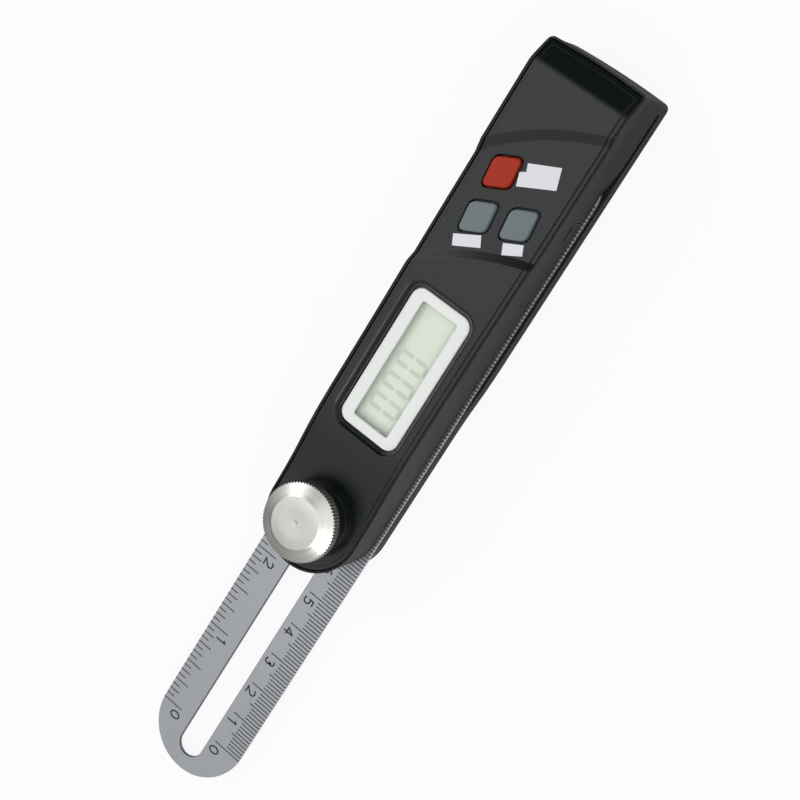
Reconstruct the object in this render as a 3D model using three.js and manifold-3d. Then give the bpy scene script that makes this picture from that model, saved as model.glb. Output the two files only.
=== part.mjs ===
/**
 * Digital angle finder with a sliding, slotted steel blade.
 *
 * Lengths are millimetres and angles are degrees. +X runs along the handle from the pivot to its
 * far end, +Y is the side of the inch scale and +Z is up, out of the display. The pieces are laid
 * out from the pivot axis, and the finished group is moved so that the origin lies at the bottom
 * centre of the whole object with the blade in line with the handle.
 */
import * as THREE from 'three';
import { mergeVertices } from 'three/addons/utils/BufferGeometryUtils.js';
import Module from 'manifold-3d';

const wasm = await Module();
wasm.setup();

// Fits shared by all pieces
const gap = 0.3; // running and seating clearance
const pocket_gap = 0.4; // clearance round a button or in a deep pocket
const overrun = 6; // how far a cutting body runs past what it cuts
const weld = 0.0001; // vertices nearer than this are one

// Blade
const blade_width = 27;
const blade_thickness = 1.2;
const blade_mark_length = 170;
const blade_slot_width = 7.1;
const blade_end_web = 4.1; // steel left between the slot and each tip
const blade_end_inset = 0.46; // the round ends are centred this far inside scale zero and scale end
const pivot_from_zero = 71.23; // from the scale's zero to the pivot axis

// Handle seen from above
const box_arc_offset = 0.15; // the round ends are centred this far outside the pivot axis
const base_arc_offset = 0.8;
const box_near_half = 13.4; // half width of the upper box round the pivot, at its rim
const box_flare_width = 0.3;
const box_far_half = box_near_half + box_flare_width; // half width along the display and the buttons
const box_flare_start = 30;
const box_flare_stop = 100;
const box_end = 126.9;
const box_draft = 0.6; // the walls lean in by this much towards the blade
const base_near_lip = 0.25; // how far the base stands out beyond the box round the pivot
const base_near_half = box_near_half + base_near_lip;
const base_far_lip = 0.5;
const base_far_half = box_far_half + base_far_lip;
const base_flare_start = 31;
const base_flare_stop = 55;
const base_end = 126.7;
const base_edge = 0.6; // chamfer under the base
const end_corner = 1.8;
const end_bow_depth = 0.35; // the far end bows out by this much
const slot_closed_at = 124.1; // inner face of the wall that joins base and box

// Handle seen from the side
const base_thickness = 3.6;
const floor_thickness = 1.6;
const box_height = 15.2; // from the ceiling of the blade's slot to the face
const wall = 2;
const pivot_drop = 2.6; // the face is lower round the pivot
const rise_start = -2;
const rise_stop = 32;
const tail_drop = 3.7; // the face slopes down at the far end
const slope_start = 120.2;
const slope_stop = 127;
const rim_drop = 0.3; // rim of the box below the face
const cavity_end = 121;

// Face panel
const rim_width = 0.6;
const shoulder_width = 1;
const shoulder_drop = 0.6;
const panel_near_thickness = 1.8;
const panel_thickness = 2.8;
const panel_tail_thickness = 2.3;
const panel_step_start = 10;
const panel_step_stop = 14;
const panel_tail_start = 119.6;
const panel_tail_stop = 127;

// Sunk button field, between two slanted arcs of one radius
const field_depth = 1.2;
const field_arc = 67;
const field_slope = 2; // run of the slope at each arc
const field_near_x = 75.2; // where the arcs cross the middle of the face
const field_far_x = 109.7;
const field_near_angle = 27.5; // direction of the arcs' centres there
const field_far_angle = 30.3;

// Display
const bezel_corner = 2.9;
const bezel_x = 44.2;
const bezel_sunk = 1.4; // top of the bezel below the face
const bezel_lip = 0.6;
const bezel_flange = 1;
const bezel_dish = 1.3; // sloped edge of the panel round the bezel
const window_length = 32.2;
const window_side = 8.2; // from the window's edge to the rim of the box round the pivot
const window_width = 2 * (box_near_half - window_side);
const bezel_end = 2.7; // width of the frame's short bars
const bezel_side = 3.3; // width of its long bars
const bezel_length = window_length + 2 * bezel_end;
const bezel_width = window_width + 2 * bezel_side;
const lens_border = 1; // how far the lens reaches under the bezel's lip
const lens_thickness = 0.9;
const lcd_thickness = 1.1;
const connector_width = 2;

// Buttons: slanted pads with round corners
const power_button_x = 95.6;
const power_button_y = 5.15;
const hold_button_x = 84.1;
const hold_button_y = 4.4;
const mode_button_x = 88;
const mode_button_y = -5.1;
const button_run = 7.5; // length along the handle
const button_run_rise = 0.9;
const button_fall = 6.6; // length across the handle
const button_fall_shift = 3.1;
const button_corner = 1.6;
const button_proud = 0.9;
const button_round = 0.5;
const button_flange = 0.9; // how far the flange reaches under the panel
const button_flange_thickness = 0.8;
const button_travel = 0.8;
const switch_side = 6;
const switch_body = 1.2;
const switch_tip_radius = 1.7;
const switch_free = 0.1; // left between pad and switch at full travel

// Main board and its screws
const board_start = 20;
const board_end = 112;
const board_side_gap = 0.8; // from the board to the wall round the pivot
const board_width = 2 * (box_near_half - wall - board_side_gap);
const board_thickness = 1.2;
const board_screw_near_x = 22.5;
const board_screw_far_x = 108.5;
const board_post_radius = 1.9;
const board_post_gap = 1.3; // from a post to the wall
const board_screw_y = box_near_half - wall - board_post_gap - board_post_radius;
const board_screw_head_radius = 1.7;
const board_screw_head = 1.1;
const board_screw_length = 4;
const board_screw_radius = 0.8;

// Panel screws, driven from the blade's slot
const panel_screw_near_x = 14.6;
const panel_screw_far_x = 117;
const panel_column_radius = 3;
const panel_column_gap = 0.1; // from a column to the wall
const panel_screw_y = box_near_half - wall - panel_column_gap - panel_column_radius;
const panel_column_height = 2.2;
const panel_post_radius = 2.4;
const panel_screw_head_radius = 1.9;
const panel_screw_head = 1.1;
const panel_screw_length = 7.5;
const panel_screw_radius = 0.9;

// Pivot
const neck_width = 6.5; // flats of the bolt, which slide in the blade's slot
const neck_length = 11;
const bolt_radius = 2.5;
const bolt_head_radius = 8.5;
const bolt_head_recess = 0.8; // the head lies this deep in the underside
const bolt_drive_width = 1.6; // driver slot across the head
const bolt_drive_depth = 0.8;
const hub_radius = 7.2;
const sensor_gap = 0.9; // from the sensor board to the wall
const sensor_radius = box_near_half - wall - sensor_gap;
const sensor_overhang = 1.1; // sensor board beyond the rotor
const rotor_radius = sensor_radius - sensor_overhang;
const rotor_thickness = 1.2;
const sensor_thickness = 1.6;
const sensor_ledge_height = 1.7;
const bushing_radius = 4.2;
const bushing_flange_radius = 6.2;
const bushing_flange = 1;
const collar_radius = 9; // boss that carries the knob clear of the face
const collar_height = 3.4;
const collar_tube_radius = 6.6;

// Lock knob
const washer_radius = 7.5;
const washer_thickness = 0.5;
const knob_radius = 9.83;
const knob_grip = 3; // height of the knurled band
const knob_cone = 1.8; // height of the cone above it
const knob_top_radius = 6.33;
const knob_top_wall = 1.2;
const knob_edge = 0.35;
const knurl_depth = 0.35;
const knurl_teeth = 84;

// Battery tray in the right-hand wall
const tray_start = 71.2;
const tray_face_height = 5.4;
const tray_face_thickness = 1.6;
const tray_height = 3.7;
const tray_lip = 0.8;
const tray_lip_width = 1;
const tray_back = 1.2;
const tray_nick_length = 5;
const tray_nick_depth = 0.7;
const cell_side = 3.7; // from the cell to the rim of the box
const cell_radius = box_far_half - cell_side;
const cell_rim = 1.2;
const cell_cap_radius = cell_radius - cell_rim;
const cell_height = 2.5;
const cell_cap_height = 0.7;
const tray_side = 1.4; // from the cell to each end of the tray
const tray_length = 2 * (cell_radius + tray_side);
const contact_thickness = 0.3;
const contact_width = 4;
const contact_rise = 0.5;
const contact_reach = 6;

// Heights of the stack above the underside
const blade_low = base_thickness + gap;
const blade_high = blade_low + blade_thickness;
const box_low = blade_high + gap;
const floor_top = box_low + floor_thickness;
const face_z = box_low + box_height;
const pivot_z = face_z - pivot_drop;
const tail_z = face_z - tail_drop;
const panel_low = face_z - panel_thickness;
const panel_near_low = pivot_z - panel_near_thickness;
const panel_tail_low = tail_z - panel_tail_thickness;
const field_z = face_z - field_depth;
const tray_low = floor_top + gap;
const tray_high = tray_low + tray_height;
const board_low = tray_high + gap + contact_thickness + contact_rise + gap;
const board_high = board_low + board_thickness;
const bezel_high = face_z - bezel_sunk;
const lens_high = bezel_high - bezel_lip - gap;
const lens_low = lens_high - lens_thickness;
const lcd_high = lens_low - gap;
const lcd_low = lcd_high - lcd_thickness;
const collar_top = pivot_z + collar_height;
const washer_low = collar_top + gap;
const knob_low = washer_low + washer_thickness + gap;
const knob_shoulder = knob_low + knob_grip;
const knob_high = knob_shoulder + knob_cone;
const rotor_low = floor_top + gap;
const rotor_high = rotor_low + rotor_thickness;
const sensor_low = floor_top + sensor_ledge_height + gap;
const sensor_high = sensor_low + sensor_thickness;
const neck_top = rotor_low + gap / 2;
const bushing_low = sensor_high + pocket_gap;
const bolt_top = knob_high - knob_top_wall - pocket_gap;

// Lengths along the blade
const blade_radius = blade_width / 2;
const blade_zero_x = -pivot_from_zero; // scale zero
const blade_near_x = blade_zero_x + blade_end_inset;
const blade_far_x = blade_zero_x + blade_mark_length - blade_end_inset;
const blade_tip_x = blade_near_x - blade_radius;
const handle_end_x = Math.max(box_end, base_end) + end_bow_depth;
const slot_radius = blade_slot_width / 2;
const slot_inset = blade_radius - blade_end_web - slot_radius;

const box_plan = {
  arc_offset: box_arc_offset,
  near: box_near_half,
  far: box_far_half,
  flare_start: box_flare_start,
  flare_stop: box_flare_stop,
  end: box_end,
};
const base_plan = {
  arc_offset: base_arc_offset,
  near: base_near_half,
  far: base_far_half,
  flare_start: base_flare_start,
  flare_stop: base_flare_stop,
  end: base_end,
};

const curve_steps = 6;
const round_steps = 32;
const least_corner_share = 0.3;

// Solids and booleans

/** A closed solid from a three.js geometry, with its shared vertices joined. */
function solid(geometry) {
  const bare = new THREE.BufferGeometry();
  bare.setAttribute('position', geometry.getAttribute('position'));
  bare.setIndex(geometry.getIndex());
  const joined = mergeVertices(bare, weld);
  const corners = joined.getIndex().array;
  const kept = [];
  for (let i = 0; i < corners.length; i += 3) {
    const [a, b, c] = [corners[i], corners[i + 1], corners[i + 2]];
    if (a !== b && b !== c && c !== a) kept.push(a, b, c);
  }
  return new wasm.Manifold(
    new wasm.Mesh({
      numProp: 3,
      vertProperties: new Float32Array(joined.getAttribute('position').array),
      triVerts: new Uint32Array(kept),
    }),
  );
}

/** The three.js mesh of a finished solid. */
function piece(name, body, material) {
  const mesh = body.getMesh();
  const geometry = new THREE.BufferGeometry();
  geometry.setAttribute('position', new THREE.BufferAttribute(mesh.vertProperties, 3));
  geometry.setIndex(new THREE.BufferAttribute(mesh.triVerts, 1));
  const faceted = geometry.toNonIndexed();
  faceted.computeVertexNormals();
  const made = new THREE.Mesh(faceted, material);
  made.name = name;
  return made;
}

function joined(bodies) {
  return bodies.reduce((whole, body) => whole.add(body));
}

/** An outline raised from one height to another. */
function slab(shape, low, high) {
  const depth = high - low;
  const geometry = new THREE.ExtrudeGeometry(shape, {
    depth,
    bevelEnabled: false,
    curveSegments: curve_steps,
  });
  geometry.translate(0, 0, low);
  return solid(geometry);
}

/** A box given by its corners. */
function block(low, high) {
  const size = new THREE.Vector3().subVectors(high, low);
  const geometry = new THREE.BoxGeometry(size.x, size.y, size.z);
  geometry.translate((low.x + high.x) / 2, (low.y + high.y) / 2, (low.z + high.z) / 2);
  return solid(geometry);
}

const corner = (x, y, z) => new THREE.Vector3(x, y, z);

/** An outline raised with walls that spread by `grow` from the bottom to the top. */
function leaningSlab(shape, low, high, grow) {
  const rise = high - low;
  const geometry = new THREE.ExtrudeGeometry(shape, {
    depth: rise,
    bevelEnabled: true,
    bevelThickness: rise,
    bevelSize: grow,
    bevelSegments: 1,
    curveSegments: curve_steps,
  });
  geometry.translate(0, 0, low + rise);
  const reach = box_end + blade_mark_length;
  return solid(geometry).intersect(block(corner(-reach, -reach, low), corner(reach, reach, high)));
}

/** A body of revolution about a vertical axis, from [radius, height] pairs that close on themselves. */
function turned(profile, x = 0, y = 0, steps = round_steps) {
  const points = profile.map(([radius, z]) => new THREE.Vector2(radius, z));
  points.push(points[0].clone());
  const geometry = new THREE.LatheGeometry(points, steps);
  geometry.rotateX(Math.PI / 2);
  geometry.translate(x, y, 0);
  return solid(geometry);
}

/** A full cylinder between two heights. */
function rod(radius, low, high, x = 0, y = 0, steps = round_steps) {
  const geometry = new THREE.CylinderGeometry(radius, radius, high - low, steps);
  geometry.rotateX(Math.PI / 2);
  geometry.translate(x, y, (low + high) / 2);
  return solid(geometry);
}

/** A side view, drawn in X and Z, swept across the handle. */
function sideSweep(points, half) {
  const geometry = new THREE.ExtrudeGeometry(new THREE.Shape(points), {
    depth: 2 * half,
    bevelEnabled: false,
  });
  geometry.rotateX(Math.PI / 2);
  geometry.translate(0, half, 0);
  return solid(geometry);
}

// Outlines

/** The handle from above, drawn in by `inset`. */
function handleOutline(plan, inset) {
  const near = plan.near - inset;
  const far = plan.far - inset;
  const end = plan.end - inset;
  const turn = Math.max(end_corner - inset, end_corner * least_corner_share);
  const middle = (plan.flare_start + plan.flare_stop) / 2;
  const shape = new THREE.Shape();
  shape.absarc(-plan.arc_offset, 0, near, Math.PI / 2, 1.5 * Math.PI, false);
  shape.lineTo(plan.flare_start, -near);
  shape.bezierCurveTo(middle, -near, middle, -far, plan.flare_stop, -far);
  shape.lineTo(end - turn, -far);
  shape.quadraticCurveTo(end, -far, end, turn - far);
  shape.quadraticCurveTo(end + 2 * end_bow_depth, 0, end, far - turn);
  shape.quadraticCurveTo(end, far, end - turn, far);
  shape.lineTo(plan.flare_stop, far);
  shape.bezierCurveTo(middle, far, middle, near, plan.flare_start, near);
  return shape;
}

/** A rectangle with round corners. */
function roundedRectangle(x, y, length, width, radius) {
  const [left, right] = [x - length / 2, x + length / 2];
  const [low, high] = [y - width / 2, y + width / 2];
  const shape = new THREE.Shape();
  shape.moveTo(left + radius, low);
  shape.lineTo(right - radius, low);
  shape.absarc(right - radius, low + radius, radius, -Math.PI / 2, 0, false);
  shape.lineTo(right, high - radius);
  shape.absarc(right - radius, high - radius, radius, 0, Math.PI / 2, false);
  shape.lineTo(left + radius, high);
  shape.absarc(left + radius, high - radius, radius, Math.PI / 2, Math.PI, false);
  shape.lineTo(left, low + radius);
  shape.absarc(left + radius, low + radius, radius, Math.PI, 1.5 * Math.PI, false);
  return shape;
}

/** A long hole with round ends, along X. */
function stadium(from, to, radius) {
  const shape = new THREE.Shape();
  shape.absarc(from, 0, radius, Math.PI / 2, 1.5 * Math.PI, false);
  shape.absarc(to, 0, radius, -Math.PI / 2, Math.PI / 2, false);
  return shape;
}

/** The slanted outline of a button, grown on every side by `grow`. */
function buttonOutline(place, grow) {
  const run = new THREE.Vector2(button_run, button_run_rise);
  const fall = new THREE.Vector2(button_fall_shift, -button_fall);
  const slant = Math.abs(run.cross(fall)) / (run.length() * fall.length());
  const along = run.clone().normalize();
  const across = fall.clone().normalize();
  const half_run = run.length() / 2 + grow / slant;
  const half_fall = fall.length() / 2 + grow / slant;
  const turn = button_corner + grow;
  const at = (a, b) =>
    new THREE.Vector2(place.x, place.y).addScaledVector(along, a).addScaledVector(across, b);
  const signs = [
    [-1, 1],
    [1, 1],
    [1, -1],
    [-1, -1],
  ];
  const shape = new THREE.Shape();
  signs.forEach(([a, b], index) => {
    const tip = at(a * half_run, b * half_fall);
    const by_run = at(a * (half_run - turn), b * half_fall);
    const by_fall = at(a * half_run, b * (half_fall - turn));
    const [enter, leave] = index % 2 ? [by_run, by_fall] : [by_fall, by_run];
    if (index === 0) shape.moveTo(enter.x, enter.y);
    else shape.lineTo(enter.x, enter.y);
    shape.quadraticCurveTo(tip.x, tip.y, leave.x, leave.y);
  });
  return shape;
}

/** Points of the handle's top line from the far end to the pivot end, lowered by `drop`. */
function topLine(drop) {
  const middle = (rise_start + rise_stop) / 2;
  const curve = new THREE.CubicBezierCurve(
    new THREE.Vector2(rise_stop, face_z - drop),
    new THREE.Vector2(middle, face_z - drop),
    new THREE.Vector2(middle, pivot_z - drop),
    new THREE.Vector2(rise_start, pivot_z - drop),
  );
  return [
    new THREE.Vector2(box_end + overrun, tail_z - drop),
    new THREE.Vector2(slope_stop, tail_z - drop),
    new THREE.Vector2(slope_start, face_z - drop),
    ...curve.getPoints(curve_steps),
    new THREE.Vector2(-box_near_half - overrun, pivot_z - drop),
  ];
}

/** Points of the panel's underside from the pivot end to the far end, lowered by `drop`. */
function underLine(drop) {
  return [
    new THREE.Vector2(-box_near_half - overrun, panel_near_low - drop),
    new THREE.Vector2(panel_step_start, panel_near_low - drop),
    new THREE.Vector2(panel_step_stop, panel_low - drop),
    new THREE.Vector2(panel_tail_start, panel_low - drop),
    new THREE.Vector2(panel_tail_stop, panel_tail_low - drop),
    new THREE.Vector2(box_end + overrun, panel_tail_low - drop),
  ];
}

/** Everything of the handle below its top line. */
function belowTop(drop) {
  const far = new THREE.Vector2(box_end + overrun, -overrun);
  const near = new THREE.Vector2(-box_near_half - overrun, -overrun);
  return sideSweep([near, far, ...topLine(drop)], base_far_half + overrun);
}

/** Everything of the handle above the panel's underside. */
function abovePanel(drop) {
  const far = new THREE.Vector2(box_end + overrun, knob_high);
  const near = new THREE.Vector2(-box_near_half - overrun, knob_high);
  return sideSweep([...underLine(drop), far, near], base_far_half + overrun);
}

/** The body that sinks the button field to one height. */
function fieldCut(floor) {
  const reach = box_far_half + overrun / 2;
  const arc = (crossing, angle, radius) => {
    const turn = THREE.MathUtils.degToRad(angle);
    const x = crossing - field_arc * Math.cos(turn);
    const y = -field_arc * Math.sin(turn);
    return { x, y, radius, from: Math.asin((reach - y) / radius), to: Math.asin((-reach - y) / radius) };
  };
  const near = arc(field_near_x, field_near_angle, field_arc + field_slope);
  const far = arc(field_far_x, field_far_angle, field_arc - field_slope);
  const shape = new THREE.Shape();
  shape.absarc(near.x, near.y, near.radius, near.from, near.to, true);
  shape.absarc(far.x, far.y, far.radius, far.to, far.from, false);
  const geometry = new THREE.ExtrudeGeometry(shape, {
    depth: overrun,
    bevelEnabled: true,
    bevelThickness: field_depth,
    bevelSize: field_slope,
    bevelSegments: 1,
    curveSegments: curve_steps,
  });
  geometry.translate(0, 0, floor + field_depth);
  return solid(geometry);
}

// Places of what comes more than once

const board_screws = [];
const panel_screws = [];
for (const side of [-1, 1]) {
  board_screws.push({ x: board_screw_near_x, y: side * board_screw_y });
  board_screws.push({ x: board_screw_far_x, y: side * board_screw_y });
  panel_screws.push({ x: panel_screw_near_x, y: side * panel_screw_y });
  panel_screws.push({ x: panel_screw_far_x, y: side * panel_screw_y });
}

const buttons = [
  { name: 'power', x: power_button_x, y: power_button_y },
  { name: 'hold', x: hold_button_x, y: hold_button_y },
  { name: 'mode', x: mode_button_x, y: mode_button_y },
];

// Tray places that follow from the cell and the wall
const tray_end = tray_start + tray_length;
const tray_x = (tray_start + tray_end) / 2;
const tray_face_back = -(box_far_half - wall) - gap / 2;
const cell_hole_radius = cell_radius + gap;
const cell_y = tray_face_back + tray_back / 4 + cell_hole_radius;
const tray_rear = cell_y + cell_hole_radius + tray_back;
const tray_face_low = box_low + gap;
const tray_face_high = tray_face_low + tray_face_height;
const contact_back = tray_rear + gap;

// Handle

/** The upper box as one block: leaning walls under the stepped top line. */
function boxBlock(drop) {
  const top = face_z + overrun;
  const spread = box_draft * ((top - box_low) / (face_z - box_low));
  return leaningSlab(handleOutline(box_plan, box_draft), box_low, top, spread).intersect(
    belowTop(drop),
  );
}

/** Base, far wall and hollow upper box, moulded as one piece with the blade's slot between. */
function handleBody() {
  const far = block(
    corner(slot_closed_at, -base_far_half - overrun, -overrun),
    corner(base_end + overrun, base_far_half + overrun, face_z),
  );
  const base = joined([
    leaningSlab(handleOutline(base_plan, base_edge), 0, base_edge, base_edge),
    slab(handleOutline(base_plan, 0), base_edge, base_thickness),
  ]);
  const step = base_end - box_end + box_draft;
  const join_top = (box_low + pivot_z) / 2;
  const end_wall = leaningSlab(handleOutline(base_plan, 0), base_thickness, join_top, -step / 2);
  const box = boxBlock(rim_drop).subtract(fieldCut(field_z - rim_drop));
  const cavity_stop = block(
    corner(-box_near_half - overrun, -base_far_half - overrun, floor_top),
    corner(cavity_end, base_far_half + overrun, knob_high),
  );
  const cavity = slab(handleOutline(box_plan, wall), floor_top, knob_high).intersect(cavity_stop);
  const seat = slab(handleOutline(box_plan, rim_width), box_low, knob_high).intersect(
    abovePanel(gap),
  );
  const shell = joined([base, end_wall.intersect(far), box]).subtract(cavity).subtract(seat);
  return shell.add(handlePosts()).add(sensorLedge()).subtract(handleHoles());
}

/** Posts for the board and columns for the panel screws. */
function handlePosts() {
  const column_top = floor_top + panel_column_height;
  const posts = board_screws.map(({ x, y }) =>
    rod(board_post_radius, floor_top - floor_thickness / 2, board_low - gap, x, y, round_steps / 2),
  );
  const columns = panel_screws.map(({ x, y }) =>
    rod(panel_column_radius, floor_top - floor_thickness / 2, column_top, x, y),
  );
  return joined([...posts, ...columns]);
}

/** Ring round the rotor that carries the sensor board. */
function sensorLedge() {
  const inner = rotor_radius + pocket_gap;
  const outer = box_near_half - wall + gap;
  const low = floor_top - floor_thickness / 2;
  const high = floor_top + sensor_ledge_height;
  return turned([
    [inner, low],
    [outer, low],
    [outer, high],
    [inner, high],
  ]);
}

/** Holes and pockets of the handle body. */
function handleHoles() {
  const head_hole = rod(bolt_head_radius + pocket_gap, -overrun, base_thickness + gap / 2);
  const hub_hole = rod(hub_radius + gap, box_low - gap / 2, floor_top + gap);
  const pilot = board_screw_radius + gap / 2;
  const pilot_low = board_low - gap - board_screw_length;
  const pilots = board_screws.map(({ x, y }) =>
    rod(pilot, pilot_low, board_low, x, y, round_steps / 2),
  );
  const head_room = box_low + gap + panel_screw_head + gap;
  const wells = panel_screws.map(({ x, y }) =>
    joined([
      rod(panel_screw_head_radius + gap, box_low - gap / 2, head_room, x, y, round_steps / 2),
      rod(panel_screw_radius + gap, box_low, face_z, x, y, round_steps / 2),
    ]),
  );
  const tray_door = block(
    corner(tray_start - gap, -base_far_half - overrun, box_low - gap / 2),
    corner(tray_end + gap, tray_face_back + gap, tray_face_high + gap),
  );
  const contact_groove = block(
    corner(tray_x - contact_width / 2 - gap, -contact_reach - gap, floor_top - 2 * gap - gap / 2),
    corner(tray_x + contact_width / 2 + gap, contact_back + contact_thickness + gap, floor_top + gap),
  );
  return joined([head_hole, hub_hole, tray_door, contact_groove, ...pilots, ...wells]);
}

/** Stepped face with the collar, the sunk button field and its openings. */
function facePanel() {
  const edge = rim_width + gap;
  const low = panel_near_low - panel_thickness - overrun;
  const under = abovePanel(0);
  const middle = slab(handleOutline(box_plan, edge + shoulder_width), low, knob_high)
    .intersect(belowTop(0))
    .intersect(under)
    .subtract(fieldCut(field_z));
  const shoulder = slab(handleOutline(box_plan, edge), low, knob_high)
    .intersect(belowTop(shoulder_drop))
    .intersect(under)
    .subtract(fieldCut(field_z - shoulder_drop));
  const tube_low = bushing_low + bushing_flange + gap;
  const collar = joined([
    rod(collar_radius, pivot_z - panel_near_thickness / 2, collar_top),
    rod(collar_tube_radius, tube_low, pivot_z - panel_near_thickness / 2),
  ]);
  const post_low = floor_top + panel_column_height + gap;
  const posts = panel_screws.map(({ x, y }) =>
    rod(panel_post_radius, post_low, panel_low + gap, x, y, round_steps / 2),
  );
  const pilots = panel_screws.map(({ x, y }) =>
    rod(panel_screw_radius + gap / 2, post_low - gap, panelScrewTop() + gap, x, y, round_steps / 2),
  );
  const bore = rod(bushing_radius + gap, tube_low - gap, collar_top + gap);
  return joined([middle, shoulder, collar, ...posts])
    .subtract(joined([bore, ...pilots]))
    .subtract(displayOpening())
    .subtract(buttonOpenings());
}

/** Opening for the bezel, with a sloped edge round it. */
function displayOpening() {
  const hole = roundedRectangle(
    bezel_x,
    0,
    bezel_length + 2 * gap,
    bezel_width + 2 * gap,
    bezel_corner + gap,
  );
  const through = slab(hole, panel_low - overrun / 2, face_z + gap);
  const dish = leaningSlab(hole, face_z - bezel_dish, face_z + gap, bezel_dish + gap);
  return through.add(dish);
}

/** Holes for the three buttons. */
function buttonOpenings() {
  return joined(
    buttons.map((place) =>
      slab(buttonOutline(place, pocket_gap), panel_low - gap, face_z + gap),
    ),
  );
}

// Display

/** White frame with a lip over the lens and a flange under the panel. */
function displayBezel() {
  const frame_low = panel_low - gap;
  const flange_low = frame_low - bezel_flange;
  const reach = 2 * bezel_flange;
  const frame = joined([
    slab(
      roundedRectangle(bezel_x, 0, bezel_length, bezel_width, bezel_corner),
      frame_low - bezel_flange / 2,
      bezel_high,
    ),
    slab(
      roundedRectangle(bezel_x, 0, bezel_length + reach, bezel_width + reach, bezel_corner),
      flange_low,
      frame_low,
    ),
  ]);
  const pocket_length = window_length + 2 * (lens_border + gap);
  const pocket_width = window_width + 2 * (lens_border + gap);
  const window_hole = slab(
    roundedRectangle(bezel_x, 0, window_length, window_width, gap),
    flange_low - gap,
    bezel_high + gap,
  );
  const pocket = slab(
    roundedRectangle(bezel_x, 0, pocket_length, pocket_width, gap),
    flange_low - gap,
    bezel_high - bezel_lip,
  );
  return frame.subtract(window_hole).subtract(pocket);
}

/** A plate that fills the bezel's pocket, between two heights. */
function pocketPlate(low, high) {
  const length = window_length + 2 * lens_border;
  const width = window_width + 2 * lens_border;
  return slab(roundedRectangle(bezel_x, 0, length, width, gap), low, high);
}

/** Rubber strip that joins the board to one edge of the display. */
function lcdConnector(side) {
  const y = side * (window_width / 2 + lens_border - connector_width / 2);
  return block(
    corner(bezel_x - window_length / 2, y - connector_width / 2, board_high + gap),
    corner(bezel_x + window_length / 2, y + connector_width / 2, lcd_low - gap),
  );
}

// Board and switches

/** Main board with its screw holes. */
function mainBoard() {
  const length = board_end - board_start;
  const plate = slab(
    roundedRectangle((board_start + board_end) / 2, 0, length, board_width, board_post_radius),
    board_low,
    board_high,
  );
  const holes = board_screws.map(({ x, y }) =>
    rod(board_screw_radius + gap, board_low - gap, board_high + gap, x, y, round_steps / 2),
  );
  return plate.subtract(joined(holes));
}

/** A screw with a round head, head up (1) or head down (-1) at the given seat. */
function screw(place, seat, way, head_radius, head, radius, length) {
  const z = (height) => seat + way * height;
  const profile = [
    [0, z(head)],
    [head_radius * (1 - least_corner_share / 2), z(head)],
    [head_radius, z(head / 2)],
    [head_radius, z(0)],
    [radius, z(0)],
    [radius, z(-length)],
    [0, z(-length)],
  ];
  if (way > 0) profile.reverse();
  return turned(profile, place.x, place.y, round_steps / 2);
}

function panelScrewTop() {
  return box_low + gap + panel_screw_head + panel_screw_length;
}

/** Push switch under a button: square body and round tip. */
function pushSwitch(place) {
  const low = board_high + gap;
  const tip = panel_low - gap - button_flange_thickness - button_travel - switch_free;
  const body = block(
    corner(place.x - switch_side / 2, place.y - switch_side / 2, low),
    corner(place.x + switch_side / 2, place.y + switch_side / 2, low + switch_body),
  );
  return body.add(
    rod(switch_tip_radius, low + switch_body / 2, tip, place.x, place.y, round_steps / 2),
  );
}

/** Rubber button: round-edged pad on a flange that stays under the panel. */
function button(place) {
  const top = field_z + button_proud;
  const flange_high = panel_low - gap;
  const flange_low = flange_high - button_flange_thickness;
  const geometry = new THREE.ExtrudeGeometry(buttonOutline(place, -button_round), {
    depth: top - button_round - flange_low - button_round,
    bevelEnabled: true,
    bevelThickness: button_round,
    bevelSize: button_round,
    bevelSegments: 2,
    curveSegments: curve_steps / 2,
  });
  geometry.translate(0, 0, flange_low + button_round);
  const flange = slab(buttonOutline(place, button_flange), flange_low, flange_high);
  return solid(geometry).add(flange);
}

// Battery

/** Tray that slides out sideways: a face flush with the wall and a ring for the cell. */
function batteryTray() {
  const face_block = block(
    corner(tray_start, -base_far_half - overrun, tray_face_low),
    corner(tray_end, tray_face_back, tray_face_high),
  );
  const nick = block(
    corner(tray_end - tray_nick_length, -base_far_half - overrun, tray_face_high - tray_nick_depth),
    corner(tray_end - tray_nick_depth, tray_face_back - tray_face_thickness / 2, tray_face_high + gap),
  );
  const face = boxBlock(0).intersect(face_block).subtract(nick);
  const body = block(
    corner(tray_start + gap, tray_face_back - tray_face_thickness / 4, tray_low),
    corner(tray_end - gap, tray_rear, tray_high),
  );
  const cell_hole = rod(cell_hole_radius, tray_low + tray_lip, tray_high + gap, tray_x, cell_y);
  const lip_hole = rod(
    cell_hole_radius - tray_lip_width,
    tray_low - gap,
    tray_high + gap,
    tray_x,
    cell_y,
  );
  return face.add(body).subtract(cell_hole).subtract(lip_hole);
}

/** Coin cell with its smaller cap underneath. */
function coinCell() {
  const low = tray_low + tray_lip + gap;
  return turned(
    [
      [0, low],
      [cell_cap_radius, low],
      [cell_cap_radius, low + cell_cap_height],
      [cell_radius, low + cell_cap_height],
      [cell_radius, low + cell_height],
      [0, low + cell_height],
    ],
    tray_x,
    cell_y,
  );
}

/** Contact leaf over the cell, with a tab up to the board. */
function upperContact() {
  const low = tray_high + gap;
  const half = contact_width / 2;
  const leaf = block(
    corner(tray_x - half, cell_y - contact_reach, low),
    corner(tray_x + half, cell_y + contact_reach, low + contact_thickness),
  );
  const tab = block(
    corner(tray_x - half, cell_y + contact_reach - contact_thickness, low),
    corner(tray_x + half, cell_y + contact_reach, board_low - gap),
  );
  return leaf.add(tab);
}

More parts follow.
